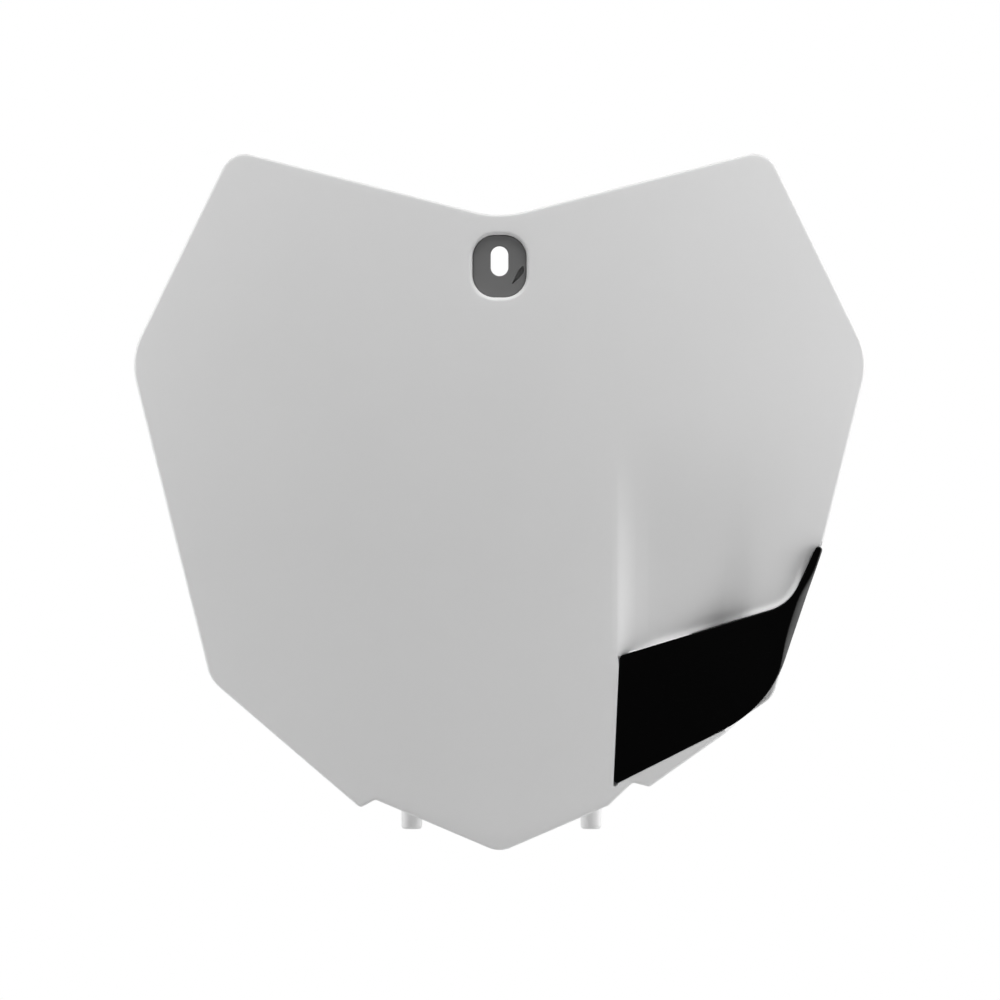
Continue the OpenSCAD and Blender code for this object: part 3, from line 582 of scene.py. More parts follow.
def lower_chain(inset, grow):
    """Lower half of the outline from the left widest corner to the right one, moved in by inset."""
    def arc(k, fractions):
        return corner_arc(PLATE_CORNERS, np.full(len(PLATE_CORNERS), inset), k, fractions)

    up = side_split()
    side_l, low_l = arc(AT_SIDE_L, lerp(up, 1, even(SIDE_STEPS))), arc(AT_LOW_L, even(LOW_STEPS))
    spur_l, notch_l = arc(AT_SPUR_L, even(SPUR_STEPS)), arc(AT_NOTCH_L, even(SPUR_STEPS))
    tip, step_r = arc(AT_TIP, even(TIP_STEPS)), arc(AT_STEP_R, even(STEP_STEPS))
    notch_r, spur_r = arc(AT_NOTCH_R, even(NOTCH_STEPS)), arc(AT_SPUR_R, even(SPUR_STEPS))
    bend = np.concatenate([arc(k, even(BEND_STEPS)) for k in (AT_BEND_R, AT_HOSE_R)])
    rebate = np.concatenate([arc(k, even(REBATE_STEPS)) for k in (AT_REBATE_LOW, AT_REBATE_TOP)])
    low_r, side_r = arc(AT_LOW_R, even(LOW_STEPS)), arc(AT_SIDE_R, (1 - up) * even(SIDE_STEPS))
    outer_l, outer_r = at_x(low_l[-1], spur_l[0], -OUTER_X), at_x(bend[-1], low_r[0], OUTER_X)
    window_l, window_r = at_x(notch_l[-1], tip[0], -WINDOW_X), at_x(tip[-1], step_r[0], WINDOW_X)
    crease = at_x(step_r[-1], notch_r[0], CREASE_LOW_X - grow)
    runs = (WALL_RUN / 2, WALL_RUN, *AFTER_CREASE)
    after = np.array([at_x(crease, notch_r[0], crease[0] + run) for run in runs])
    before = at_x(step_r[-1], notch_r[0], max(crease[0] - BEFORE_CREASE, (crease[0] + step_r[-1][0]) / 2))
    rest_of_side = inner(SIDE_RUN - REBATE_RUN - len(rebate)) ** 2
    return np.concatenate([
        side_l,
        between(side_l[-1], low_l[0], inner(SIDE_RUN)),
        low_l,
        between(low_l[-1], outer_l, even(OUTER_STEPS)[1:]),
        between(outer_l, spur_l[0], inner(SPUR_RUN)),
        spur_l,
        notch_l,
        between(notch_l[-1], window_l, inner(PEG_RUN)),
        between(window_l, tip[0], even(WINDOW_HALF)[:-1]),
        tip,
        between(tip[-1], window_r, even(WINDOW_HALF)[1:]),
        between(window_r, step_r[0], inner(PEG_RUN)),
        step_r,
        [before, crease],
        after,
        between(after[-1], notch_r[0], inner(FLAT_RUN)),
        notch_r,
        spur_r,
        between(spur_r[-1], bend[0], inner(SPUR_RUN)),
        bend,
        between(outer_r, low_r[0], even(OUTER_STEPS)[:-1]),
        low_r,
        between(low_r[-1], rebate[0], inner(REBATE_RUN)),
        rebate,
        between(rebate[-1], side_r[0], rest_of_side),
        side_r,
    ])


def upper_chain(lower, inset):
    """Upper half of the outline, with one point above each point of the lower chain."""
    insets, up = np.full(len(PLATE_CORNERS), inset), side_split()
    side = corner_arc(PLATE_CORNERS, insets, AT_SIDE_R, lerp(1 - up, 1, even(TOP_SIDE_STEPS)))
    top = corner_arc(PLATE_CORNERS, insets, AT_TOP_R, even(TOP_STEPS))
    right = np.concatenate([side, between(side[-1], top[0], inner(TOP_RUN_STEPS)), top])
    n = len(right)
    x = lower[n:-n, 0]
    slope = math.atan((TOP_RISE - DIP_RISE) / TOP_HALF_W)
    r = DIP_R + inset
    arc = DIP_RISE + DIP_R / math.cos(slope) - np.sqrt(np.maximum(r * r - x * x, 0))
    straight = DIP_RISE + np.abs(x) * math.tan(slope) - inset / math.cos(slope)
    z = np.where(np.abs(x) < r * math.sin(slope), arc, straight)
    return np.concatenate([right * [-1, 1], np.column_stack([x, z]), right[::-1]])


def row_places(a, b, grow):
    """Places of the rows in each column from a up to b, as shares of its height.

    The rows are even below the guide's top edge, close together on the steep wall and the lip there, then
    widen upwards, and are even beside the pocket. Columns lean, so the share of the guide's edge is found by
    trying again from the last share.
    """
    height = np.maximum(b[:, 1] - a[:, 1], 0.001)
    edge = np.full(len(a), EDGE_FIRST)
    for _ in range(EDGE_TRIES):
        x = np.maximum(lerp(a[:, 0], b[:, 0], edge), CREASE_X)
        edge = np.clip((guide_line(x) + SEAT_GAP + grow - a[:, 1]) / height, *EDGE_LIMITS)
    foot_z = guide_foot(np.maximum(a[:, 0], CREASE_X)) - SEAT_GAP - grow
    foot = np.clip((foot_z - a[:, 1]) / height, FOOT_LIMITS[0] * edge, FOOT_LIMITS[1] * edge)
    wall = np.minimum(WALL_RUN / height, WALL_LIMIT * edge)
    lip_run = np.minimum(LIP_FOOT / height, LIP_LIMIT * (1 - edge))
    beside_pocket = lerp(WINDOW_LOW, WINDOW_TOP, even(WINDOW_STEPS)[1:])
    open_shares = np.concatenate([WINDOW_LOW * even(ROWS_OPEN)[1:] ** OPEN_POWER, beside_pocket, [1]])
    return np.concatenate([
        foot[:, None] * even(ROWS_STRIP)[:-1],
        foot[:, None] + wall[:, None] * even(ROWS_WALL)[:-1],
        lerp((foot + wall)[:, None], (edge - wall)[:, None], even(ROWS_BELOW)[:-1]),
        (edge - wall)[:, None] + wall[:, None] * even(ROWS_WALL),
        edge[:, None] + lip_run[:, None] * np.array(LIP_ROWS),
        lerp((edge + lip_run)[:, None], 1, open_shares),
    ], 1)


def sheet_grid(inset, grow, depth):
    """One side of the sheet as a surface: columns between the two chains, pulled sideways near the upright
    edge to follow it, at the depth of the white face plus a given depth."""
    lower = lower_chain(inset, grow)
    upper = upper_chain(lower, inset)
    v = row_places(lower, upper, grow)
    z = lerp(lower[:, 1:], upper[:, 1:], v)
    x = lerp(lower[:, :1], upper[:, :1], v)
    near = np.clip(1 - np.abs(x - (CREASE_LOW_X - grow)) / CREASE_REACH, 0, 1)
    free = ease(v * FREE_RATE)
    x = x + (crease_at(z) - CREASE_LOW_X) * near * free
    return np.stack([x, front_y(x, z, grow) + depth, z], -1)


def rim_profile():
    """Rim from the rolled edge round the turned-back flange: inset, depth and growth of each loop."""
    a = np.radians(90 * even(5)[1:])
    roll = np.column_stack([EDGE_R * (1 - np.sin(a)), EDGE_R * (1 - np.cos(a)), 0 * a])
    t, d, s = SHEET_T, EDGE_DEPTH, RIM_SOFT
    flange = np.array([
        [0, d - s, 0], [0.3 * s, d - 0.3 * s, 0.06 * t], [s, d, 0.2 * t], [t - s, d, t - s],
        [t - 0.3 * s, d - 0.3 * s, t], [t, d - s, t],
    ])
    f = np.radians(90 * even(4)[:-1])
    fillet = np.column_stack([
        t + BACK_FILLET * (1 - np.cos(f)), t + BACK_FILLET * (1 - np.sin(f)), t + 0 * f,
    ])
    return np.concatenate([roll, flange, fillet])


def rim_loop(inset, depth, grow):
    """Closed loop round the board, moved in by inset and back by depth."""
    lower = lower_chain(inset, grow)
    loop = np.concatenate([lower, upper_chain(lower, inset)[-2:0:-1]])
    return np.column_stack([loop[:, 0], front_y(loop[:, 0], loop[:, 1], grow) + depth, loop[:, 1]])


def on_face(ring, depth):
    """Outline laid on the white face and moved back by depth."""
    return np.column_stack([ring[:, 0], front_y(ring[:, 0], ring[:, 1]) + depth, ring[:, 1]])


def at_depth(ring, y):
    """Flat outline at a depth."""
    return np.column_stack([ring[:, 0], np.full(len(ring), y), ring[:, 1]])


def pocket_outline(d):
    """Outline of the pocket, grown by d."""
    return rounded_ring(POCKET_W + 2 * d, POCKET_H + 2 * d, POCKET_R + d, WINDOW_STEPS, POCKET_Z)


def neck_outline(d):
    """Outline of the hole for the bush's neck, grown by d."""
    w, h = NECK_W + 2 * d, NECK_H + 2 * d
    return rounded_ring(w, h, w / 2 - 0.01, WINDOW_STEPS, 0)


def pocket_rings(front_window, back_window):
    """Loops from the face, over the mouth's roll, down the pocket and through its floor to the rear."""
    mouth, soft, rear = pocket_outline(MOUTH_R), POCKET_SOFT, POCKET_FLOOR_Y + FLOOR_T
    fillet_middle = SHEET_T + SOFT_MIDDLE * POCKET_FILLET
    rings = [on_face(lerp(front_window, mouth, f), 0) for f in MOUTH_ROWS]
    for a in np.radians(90 * even(MOUTH_STEPS)):
        rings.append(on_face(pocket_outline(MOUTH_R * (1 - math.sin(a))), MOUTH_R * (1 - math.cos(a))))
    return rings + [
        at_depth(pocket_outline(0), POCKET_FLOOR_Y - soft),
        at_depth(pocket_outline(-SOFT_MIDDLE * soft), POCKET_FLOOR_Y - SOFT_MIDDLE * soft),
        at_depth(pocket_outline(-soft), POCKET_FLOOR_Y),
        at_depth(neck_outline(NECK_GAP), POCKET_FLOOR_Y),
        at_depth(neck_outline(NECK_GAP), rear),
        at_depth(pocket_outline(SHEET_T - soft), rear),
        at_depth(pocket_outline(SHEET_T), rear - soft),
        on_face(pocket_outline(SHEET_T), SHEET_T + POCKET_FILLET),
        on_face(pocket_outline(fillet_middle), fillet_middle),
        on_face(lerp(pocket_outline(SHEET_T + POCKET_FILLET), back_window, FILLET_ROW), SHEET_T),
    ]


def window_ids(ids, left, low):
    """Vertex numbers round the window that the pocket fills, from its lower left corner."""
    right, top = left + WINDOW_STEPS, low + WINDOW_STEPS
    return np.concatenate([
        ids[left:right, low], ids[right, low:top], ids[right:left:-1, top], ids[left, top:low:-1],
    ])


def white_sheet():
    """Points and faces of the whole moulded sheet, as one closed surface."""
    front = sheet_grid(EDGE_R, 0, 0)
    back = sheet_grid(SHEET_T + BACK_FILLET, SHEET_T, SHEET_T)
    columns, rows = front.shape[:2]
    ids = np.arange(columns * rows).reshape(columns, rows)
    ids[0], ids[-1] = ids[0, 0], ids[-1, 0]
    back_ids = ids + columns * rows
    left = int(np.argmin(np.abs(front[:, 0, 0] + WINDOW_X)))
    low = ROWS_STRIP + 2 * ROWS_WALL + ROWS_BELOW + len(LIP_ROWS) + ROWS_OPEN
    keep = np.ones((columns - 1, rows - 1), bool)
    keep[left:left + WINDOW_STEPS, low:low + WINDOW_STEPS] = False
    faces = [grid_faces(ids)[keep.ravel()], grid_faces(back_ids)[keep.ravel()][:, ::-1]]

    points, base = [front.reshape(-1, 3), back.reshape(-1, 3)], 2 * columns * rows

    def edge(i):
        return np.concatenate([i[:, 0], i[-2:0:-1, -1]])

    loops = [rim_loop(*r) for r in rim_profile()]
    rim_ids = base + np.arange(len(loops) * len(loops[0])).reshape(len(loops), -1)
    faces.append(band_faces(np.concatenate([[edge(ids)], rim_ids, [edge(back_ids)]]))[:, ::-1])
    points += loops
    base += rim_ids.size

    front_window, back_window = window_ids(ids, left, low), window_ids(back_ids, left, low)
    flat = np.concatenate(points[:2])
    rings = pocket_rings(flat[front_window][:, [0, 2]], flat[back_window][:, [0, 2]])
    cup_ids = base + np.arange(len(rings) * len(rings[0])).reshape(len(rings), -1)
    faces.append(band_faces(np.concatenate([[front_window], cup_ids, [back_window]])))
    points += rings
    return np.concatenate(points), tidy_faces(np.concatenate(faces))


def cut_windows(piece):
    """Cuts the hook windows through the seat, as boxes round each hook."""
    boxes = []
    for x, z in HOOKS:
        y = float(front_y(x, z))
        half = HOOK_W / 2 + HOOK_GAP
        low, high = z - HOOK_T / 2 - HOOK_GAP, z + HOOK_T / 2 + BARB + HOOK_GAP
        boxes.append(upright_web(x, 2 * half, [
            [y - WINDOW_REACH, low], [y + SHEET_T + WINDOW_REACH, low],
            [y + SHEET_T + WINDOW_REACH, high], [y - WINDOW_REACH, high],
        ]))
    points, faces = join_parts(boxes)
    mesh = bpy.data.meshes.new("window_cutter")
    mesh.from_pydata((points * MM).tolist(), [], faces)
    cutter = bpy.data.objects.new("window_cutter", mesh)
    bpy.context.scene.collection.objects.link(cutter)
    cut = piece.modifiers.new("hook_windows", "BOOLEAN")
    cut.operation, cut.object, cut.solver = "DIFFERENCE", cutter, "EXACT"
    graph = bpy.context.evaluated_depsgraph_get()
    whole = bpy.data.meshes.new_from_object(piece.evaluated_get(graph))
    piece.modifiers.clear()
    piece.data = whole
    bpy.data.objects.remove(cutter)
    whole.shade_smooth()
    whole.set_sharp_from_angle(angle=math.radians(35))


# Pegs and ribs

def root_y(x, z):
    """Depth just inside the sheet, where webs begin."""
    return float(front_y(x, z)) + ROOT


def lathe(profile, x, y, count=64):
    """Round body about an upright axis: each (radius, height) of the profile is turned through 360."""
    a = 2 * np.pi * np.arange(count) / count
    rings = [np.column_stack([x + r * np.cos(a), y + r * np.sin(a), np.full(count, z)]) for r, z in profile]
    ids = np.arange(len(rings) * count).reshape(len(rings), count)
    faces = band_faces(ids)[:, ::-1].tolist()
    return np.concatenate(rings), faces + [ids[0, ::-1].tolist(), ids[-1].tolist()]


def peg_parts(side):
    """Peg with a softened end, its thicker root, the upright web and the shelf that carry it."""
    x, z0 = side * PEG_X + PEG_SHIFT, -PEG_DROP
    z_root = z0 + PEG_LEN
    z1 = z_root + PEG_ROOT_LEN
    z_shelf, z_turn, z_top = z1 - SHELF_BELOW, z1 + WEB_BEND, z1 + WEB_RISE
    r, root, s, t = PEG_D / 2, PEG_ROOT_D / 2, PEG_SOFT, PEG_ROOT_SOFT
    a = np.radians(90 * even(5))
    profile = [(r - s + s * math.sin(turn), z0 + s - s * math.cos(turn)) for turn in a]
    profile += [(r, z_root - PEG_STEP), (r + PEG_STEP_OUT, z_root), (root - t, z_root), (root, z_root + t)]
    profile += [(root, z1 - t), (root - t, z1)]
    web = upright_web(x, WEB_T, [
        [root_y(x, z_root), z_root + WEB_FOOT], [PEG_Y, z_root + WEB_FOOT], [PEG_Y, z1 - WEB_HEAD],
        [root_y(x, z_top) + END_RISE, z_top], [root_y(x, z_turn), z_turn],
    ])
    shelf = lying_web(z_shelf, WEB_T, [
        [x - SHELF_HALF_W, root_y(x - SHELF_HALF_W, z_shelf)],
        [x + SHELF_HALF_W, root_y(x + SHELF_HALF_W, z_shelf)],
        [x + root * SHELF_END, PEG_Y], [x - root * SHELF_END, PEG_Y],
    ])
    return [lathe(profile, x, PEG_Y)], [web, shelf]


def rib_parts():
    """Ribs that tie the pocket to the sheet: one below it and one on each side."""
    top_y = POCKET_FLOOR_Y + FLOOR_T - END_RISE
    low = POCKET_Z - POCKET_H / 2
    z0, zm, z1 = low - ROOT, low - RIB_DROP / 2, low - RIB_DROP
    below = [[root_y(0, z0), z0], [top_y, z0], [root_y(0, z1) + END_RISE, z1], [root_y(0, zm), zm]]
    parts = [upright_web(0, RIB_T, below)]
    for side in (-1, 1):
        x0, x1 = side * (POCKET_W / 2 + ROOT), side * (POCKET_W / 2 + RIB_REACH)
        xm = (x0 + x1) / 2
        parts.append(lying_web(POCKET_Z, RIB_T, [
            [x0, root_y(x0, POCKET_Z)], [x0, top_y],
            [x1, root_y(x1, POCKET_Z) + END_RISE], [xm, root_y(xm, POCKET_Z)],
        ]))
    return parts


# The black guide and the bush

# Points along the guide's outline: at its corners, and between them along its foot, its side and its top
GUIDE_CORNER_STEPS = 4
GUIDE_LOW_STEPS = 12
GUIDE_BEND_STEPS = 10
GUIDE_FOOT_RUN = 40
GUIDE_SIDE_RUN = 16
GUIDE_TIP_RUN = 8
GUIDE_TOP_RUN = 50
GUIDE_ROWS = 10
GUIDE_TURN_STEPS = 8

# How far the edge narrows at the tip, and how fast the side wall comes and goes
TIP_SLIM = 0.75
WALL_RISE = 1.2
WALL_FALL = 2 / 3

# Power of the turn along the band, and the loops behind it: share inwards and missing depth
BAND_POWER = 1.5
REAR_LOOPS = ((0, 0.25), (0.04, 0.08), (0.15, 0), (0.8, 0))


def guide_lower(insets):
    """Foot and outer side of the guide, from its lower left corner to its tip."""
    def arc(k, steps):
        return corner_arc(GUIDE_CORNERS, insets, k, even(steps))

    start, low, tip = arc(0, GUIDE_CORNER_STEPS), arc(1, GUIDE_LOW_STEPS), arc(2, GUIDE_CORNER_STEPS)
    return np.concatenate([
        start, between(start[-1], low[0], inner(GUIDE_FOOT_RUN)), low,
        between(low[-1], tip[0], inner(GUIDE_SIDE_RUN)), tip,
    ])


def guide_upper(insets):
    """Top edge of the guide, from its upper left corner to its tip, with as many points as the foot."""
    def arc(k, steps):
        return corner_arc(GUIDE_CORNERS, insets, k, even(steps))

    end, bend, top_l = arc(3, GUIDE_CORNER_STEPS), arc(4, GUIDE_BEND_STEPS), arc(5, GUIDE_CORNER_STEPS)
    return np.concatenate([
        end, between(end[-1], bend[0], inner(GUIDE_TIP_RUN)), bend,
        between(bend[-1], top_l[0], inner(GUIDE_TOP_RUN)), top_l,
    ])[::-1]


def proud(x):
    """How far the guide's face stands in front of the board: little, and more at its tip."""
    return lerp(GUIDE_PROUD, TIP_PROUD, ease((x - TIP_FROM_X) / TIP_RUN))


def guide_pair(insets):
    """Both chains of the guide's outline moved in, and by less towards the thin tip."""
    def moved(outer, inset):
        slim = 1 - TIP_SLIM * ease((outer[:, :1] - BAND_END_X) / BAND_END_RUN)
        return lerp(outer, inset, slim)

    none = np.zeros(len(GUIDE_CORNERS))
    return moved(guide_lower(none), guide_lower(insets)), moved(guide_upper(none), guide_upper(insets))


def guide_face():
    """Outline of the guide's flat face, inside its rounded edge, which is wide along the outer side."""
    plain = np.full(len(GUIDE_CORNERS), GUIDE_SOFT)
    banded = plain.copy()
    banded[1] = GUIDE_EDGE_R
    pairs = zip(guide_pair(plain), guide_pair(banded))
    return [lerp(p, q, ease((p[:, 1:] - BAND_LOW_Z) / BAND_LOW_RUN)) for p, q in pairs]


def side_wall_share(n):
    """Share of the side wall at each of n points of the rim: none along the foot, rising round the low
    corner, whole along the outer side and falling round the tip."""
    foot = np.zeros(GUIDE_CORNER_STEPS + 1 + GUIDE_FOOT_RUN)
    low, side = ease(WALL_RISE * even(GUIDE_LOW_STEPS)), np.ones(GUIDE_SIDE_RUN)
    tip = ease(1 - WALL_FALL * even(GUIDE_CORNER_STEPS))
    lower = np.concatenate([foot, low, side, tip])
    return np.concatenate([lower, np.zeros(n - len(lower))])


def guide_panel():
    """Closed thin shell of the guide: face, rounded edge, outer side wall and hidden face.

    The edge turns from the face to the side as a quarter circle. Along the band its depth is the sine of the
    turn to a power.
    """
    def loop_of(low, up):
        share = inner(GUIDE_ROWS - 1)
        return np.concatenate([low, between(low[-1], up[-1], share), up[::-1], between(up[0], low[0], share)])

    def at(p, d):
        y = bowed_y(p[:, 0], p[:, 1]) - proud(p[:, 0]) + d
        return np.column_stack([p[:, 0], y, p[:, 1]])

    none = np.zeros(len(GUIDE_CORNERS))
    face, back = guide_face(), guide_pair(np.full(len(GUIDE_CORNERS), GUIDE_T))
    rim_out = loop_of(guide_lower(none), guide_upper(none))
    rim_face, rim_back = loop_of(*face), loop_of(*back)
    room = recess(rim_out[:, 0], rim_out[:, 1], 0) + proud(rim_out[:, 0]) - GUIDE_GAP
    deep = lerp(GUIDE_T, np.clip(room, GUIDE_T, GUIDE_SIDE), side_wall_share(len(rim_out)))
    width = np.hypot(*(rim_out - rim_face).T)
    band = np.clip((width - GUIDE_SOFT) / (GUIDE_EDGE_R - GUIDE_SOFT), 0, 1)
    most = deep - GUIDE_BACK_SOFT
    turn = lerp(np.minimum(width, most), most, band)
    loops = []
    for a in np.radians(90 * even(GUIDE_TURN_STEPS)[1:]):
        depth = turn * lerp(1 - math.cos(a), math.sin(a) ** BAND_POWER, band)
        loops.append(at(lerp(rim_face, rim_out, math.sin(a)), depth))
    loops += [at(lerp(rim_out, rim_back, share), deep - missing) for share, missing in REAR_LOOPS]

    share_rows = even(GUIDE_ROWS)[None, :, None]
    front = lerp(face[0][:, None], face[1][:, None], share_rows)
    rear = lerp(back[0][:, None], back[1][:, None], share_rows)
    ids = np.arange(front.shape[0] * front.shape[1]).reshape(front.shape[:2])
    rear_ids = ids + ids.size

    def edge(i):
        return np.concatenate([i[:, 0], i[-1, 1:-1], i[::-1, -1], i[0, -2:0:-1]])

    loop_ids = 2 * ids.size + np.arange(len(loops) * len(rim_out)).reshape(len(loops), -1)
    faces = np.concatenate([
        grid_faces(ids), grid_faces(rear_ids)[:, ::-1],
        band_faces(np.concatenate([[edge(ids)], loop_ids, [edge(rear_ids)]]))[:, ::-1],
    ])
    points = [at(front.reshape(-1, 2), 0), at(rear.reshape(-1, 2), GUIDE_T)] + loops
    return np.concatenate(points), tidy_faces(faces)


def hook_parts():
    """Snap hooks on the guide's hidden face: a stem with a barb, and a shoulder that rests on the seat."""
    parts = []
    for x, z in HOOKS:
        corners = [(x + dx * HOOK_REACH[0], z + dz * HOOK_REACH[1]) for dx in (-1, 1) for dz in (-1, 1)]
        ys = [float(front_y(*corner)) for corner in corners]
        y0 = float(bowed_y(x, z)) - GUIDE_PROUD + HOOK_START
        y_rest, y_back = min(ys) - SHOULDER_PLAY, max(ys) + SHEET_T + HOOK_PLAY
        y_end = y_back + BARB_LEN
        z0, z1 = z - HOOK_T / 2, z + HOOK_T / 2
        parts.append(upright_web(x, HOOK_W, [
            [y0, z0], [y_end, z0], [y_end, z1 - BARB / 2], [y_back + BARB_FLAT, z1 + BARB],
            [y_back, z1 + BARB], [y_back, z1], [y0, z1],
        ]))
        z_low, z_high = z0 - SHOULDER_T, z0 + SHOULDER_PLAY
        parts.append(upright_web(x, HOOK_W + 2 * SHOULDER, [
            [y0, z_low], [y_rest, z_low], [y_rest, z_high], [y0, z_high],
        ]))
    return parts


# Points on the bush's round ends and straight sides, rings on its face, and steps of its front edge
BUSH_ROUND = 40
BUSH_STRAIGHT = 14
BUSH_RINGS = 35
BUSH_TURN_STEPS = 5

# Power that widens the slit above its middle, the least share with depth, and the rear edges
LEAF_POWER = 0.6
LEAF_LEAST = 0.05
REAR_SOFT = 0.5
SLOT_REAR_SOFT = 0.4
OVAL_PLAY = 0.01


def bush():
    """Rubber bush: rings of one count from the slot's front edge, over the face with its small slit, round
    the rim, down the neck, round the rear lip and back through the slot."""
    front, soft, edge = POCKET_FLOOR_Y - BUSH_FACE, BUSH_SOFT, SLOT_SOFT

    def oval(w, h, d):
        """Upright oval, whose arcs are a hair short of half circles, so that no two points meet."""
        return rounded_ring(w + 2 * d, h + 2 * d, w / 2 + d - OVAL_PLAY, BUSH_ROUND, 0, BUSH_STRAIGHT)

    def slot(d):
        return oval(SLOT_W, SLOT_H, d)

    def neck(d):
        return oval(NECK_W, NECK_H, d)

    def block(d):
        w, h = POCKET_W - 2 * BUSH_GAP + 2 * d, POCKET_H - 2 * BUSH_GAP + 2 * d
        return rounded_ring(w, h, POCKET_R - BUSH_GAP + d, BUSH_ROUND, POCKET_Z, BUSH_STRAIGHT)

    def slit(ring):
        """Depth of a small bowed slit: as wide as the sine of its length's share to a power, so that it is
        widest above its middle and pointed at its ends."""
        start, run = np.array(LEAF_TOP), np.array(LEAF_END) - LEAF_TOP
        length = np.hypot(*run)
        along = (ring - start) @ run / length ** 2
        share = np.sin(np.pi * np.clip(along, 0, 1) ** LEAF_POWER)
        across = (ring - start) @ np.array([-run[1], run[0]]) / length - LEAF_BOW * share
        inside = (LEAF_W / 2 * share - np.abs(across)) / LEAF_SOFT
        return LEAF_DEPTH * ease(inside + 0.5) * (share > LEAF_LEAST)

    def face(ring):
        return np.column_stack([ring[:, 0], front + slit(ring), ring[:, 1]])

    rings = [at_depth(slot(0), front + edge), at_depth(slot(edge / 3), front + edge / 3), face(slot(edge))]
    rings += [face(lerp(slot(edge), block(-soft), f)) for f in inner(BUSH_RINGS)]
    rings.append(face(block(-soft)))
    for a in np.radians(90 * even(BUSH_TURN_STEPS)[1:]):
        rings.append(at_depth(block(soft * (math.sin(a) - 1)), front + soft * (1 - math.cos(a))))
    rings += [
        at_depth(block(0), POCKET_FLOOR_Y - edge),
        at_depth(block(-edge), POCKET_FLOOR_Y),
        at_depth(neck(0), POCKET_FLOOR_Y),
        at_depth(neck(0), -REAR_FLANGE),
        at_depth(neck(REAR_LIP - edge), -REAR_FLANGE),
        at_depth(neck(REAR_LIP), edge - REAR_FLANGE),
        at_depth(neck(REAR_LIP), -REAR_SOFT),
        at_depth(neck(REAR_LIP - REAR_SOFT), 0),
        at_depth(slot(SLOT_REAR_SOFT), 0),
        at_depth(slot(0), -SLOT_REAR_SOFT),
    ]
    ids = np.arange(len(rings) * len(rings[0])).reshape(len(rings), -1)
    return np.concatenate(rings), band_faces(np.concatenate([ids, ids[:1]]))[:, ::-1].tolist()


# Finishes

# Clouds of tone, how much finer the polish is, and the grain's height in mm
CLOUD_SIZE = 22.0
POLISH_FINER = 14
GRAIN_HEIGHT = 0.05

# Ranges of the noise that becomes polish, and of the turn away from the camera
NOISE_LOW, NOISE_HIGH = 0.3, 0.7
TURN_LOW, TURN_HIGH = 0.2, 0.7


def moulded_grain():
    """Node group: fine moulding grain as a height, and slow clouds of tone and of polish as masks."""
    group = bpy.data.node_groups.new("moulded_grain", "ShaderNodeTree")
    face = group.interface
    face.new_socket("Vector", in_out="INPUT", socket_type="NodeSocketVector")
    for name, value in (("Grain Size", 2500.0), ("Cloud Size", CLOUD_SIZE)):
        face.new_socket(name, in_out="INPUT", socket_type="NodeSocketFloat").default_value = value
    for name in ("Height", "Tone", "Polish"):
        face.new_socket(name, in_out="OUTPUT", socket_type="NodeSocketFloat")
    nodes, link = group.nodes, group.links.new
    enter, leave = nodes.new("NodeGroupInput"), nodes.new("NodeGroupOutput")
    grain, cloud, spots = (nodes.new("ShaderNodeTexNoise") for _ in range(3))
    for noise, detail in ((grain, 3), (cloud, 4), (spots, 6)):
        link(enter.outputs["Vector"], noise.inputs["Vector"])
        noise.inputs["Detail"].default_value = detail
    link(enter.outputs["Grain Size"], grain.inputs["Scale"])
    link(enter.outputs["Cloud Size"], cloud.inputs["Scale"])
    finer = nodes.new("ShaderNodeMath")
    finer.operation = "MULTIPLY"
    finer.inputs[1].default_value = POLISH_FINER
    link(enter.outputs["Cloud Size"], finer.inputs[0])
    link(finer.outputs[0], spots.inputs["Scale"])
    link(grain.outputs["Fac"], leave.inputs["Height"])
    link(cloud.outputs["Fac"], leave.inputs["Tone"])
    link(spots.outputs["Fac"], leave.inputs["Polish"])
    return group


def set_inputs(node, **values):
    """Sets a node's inputs by name, with spaces for underscores."""
    for name, value in values.items():
        node.inputs[name.replace("_", " ")].default_value = value


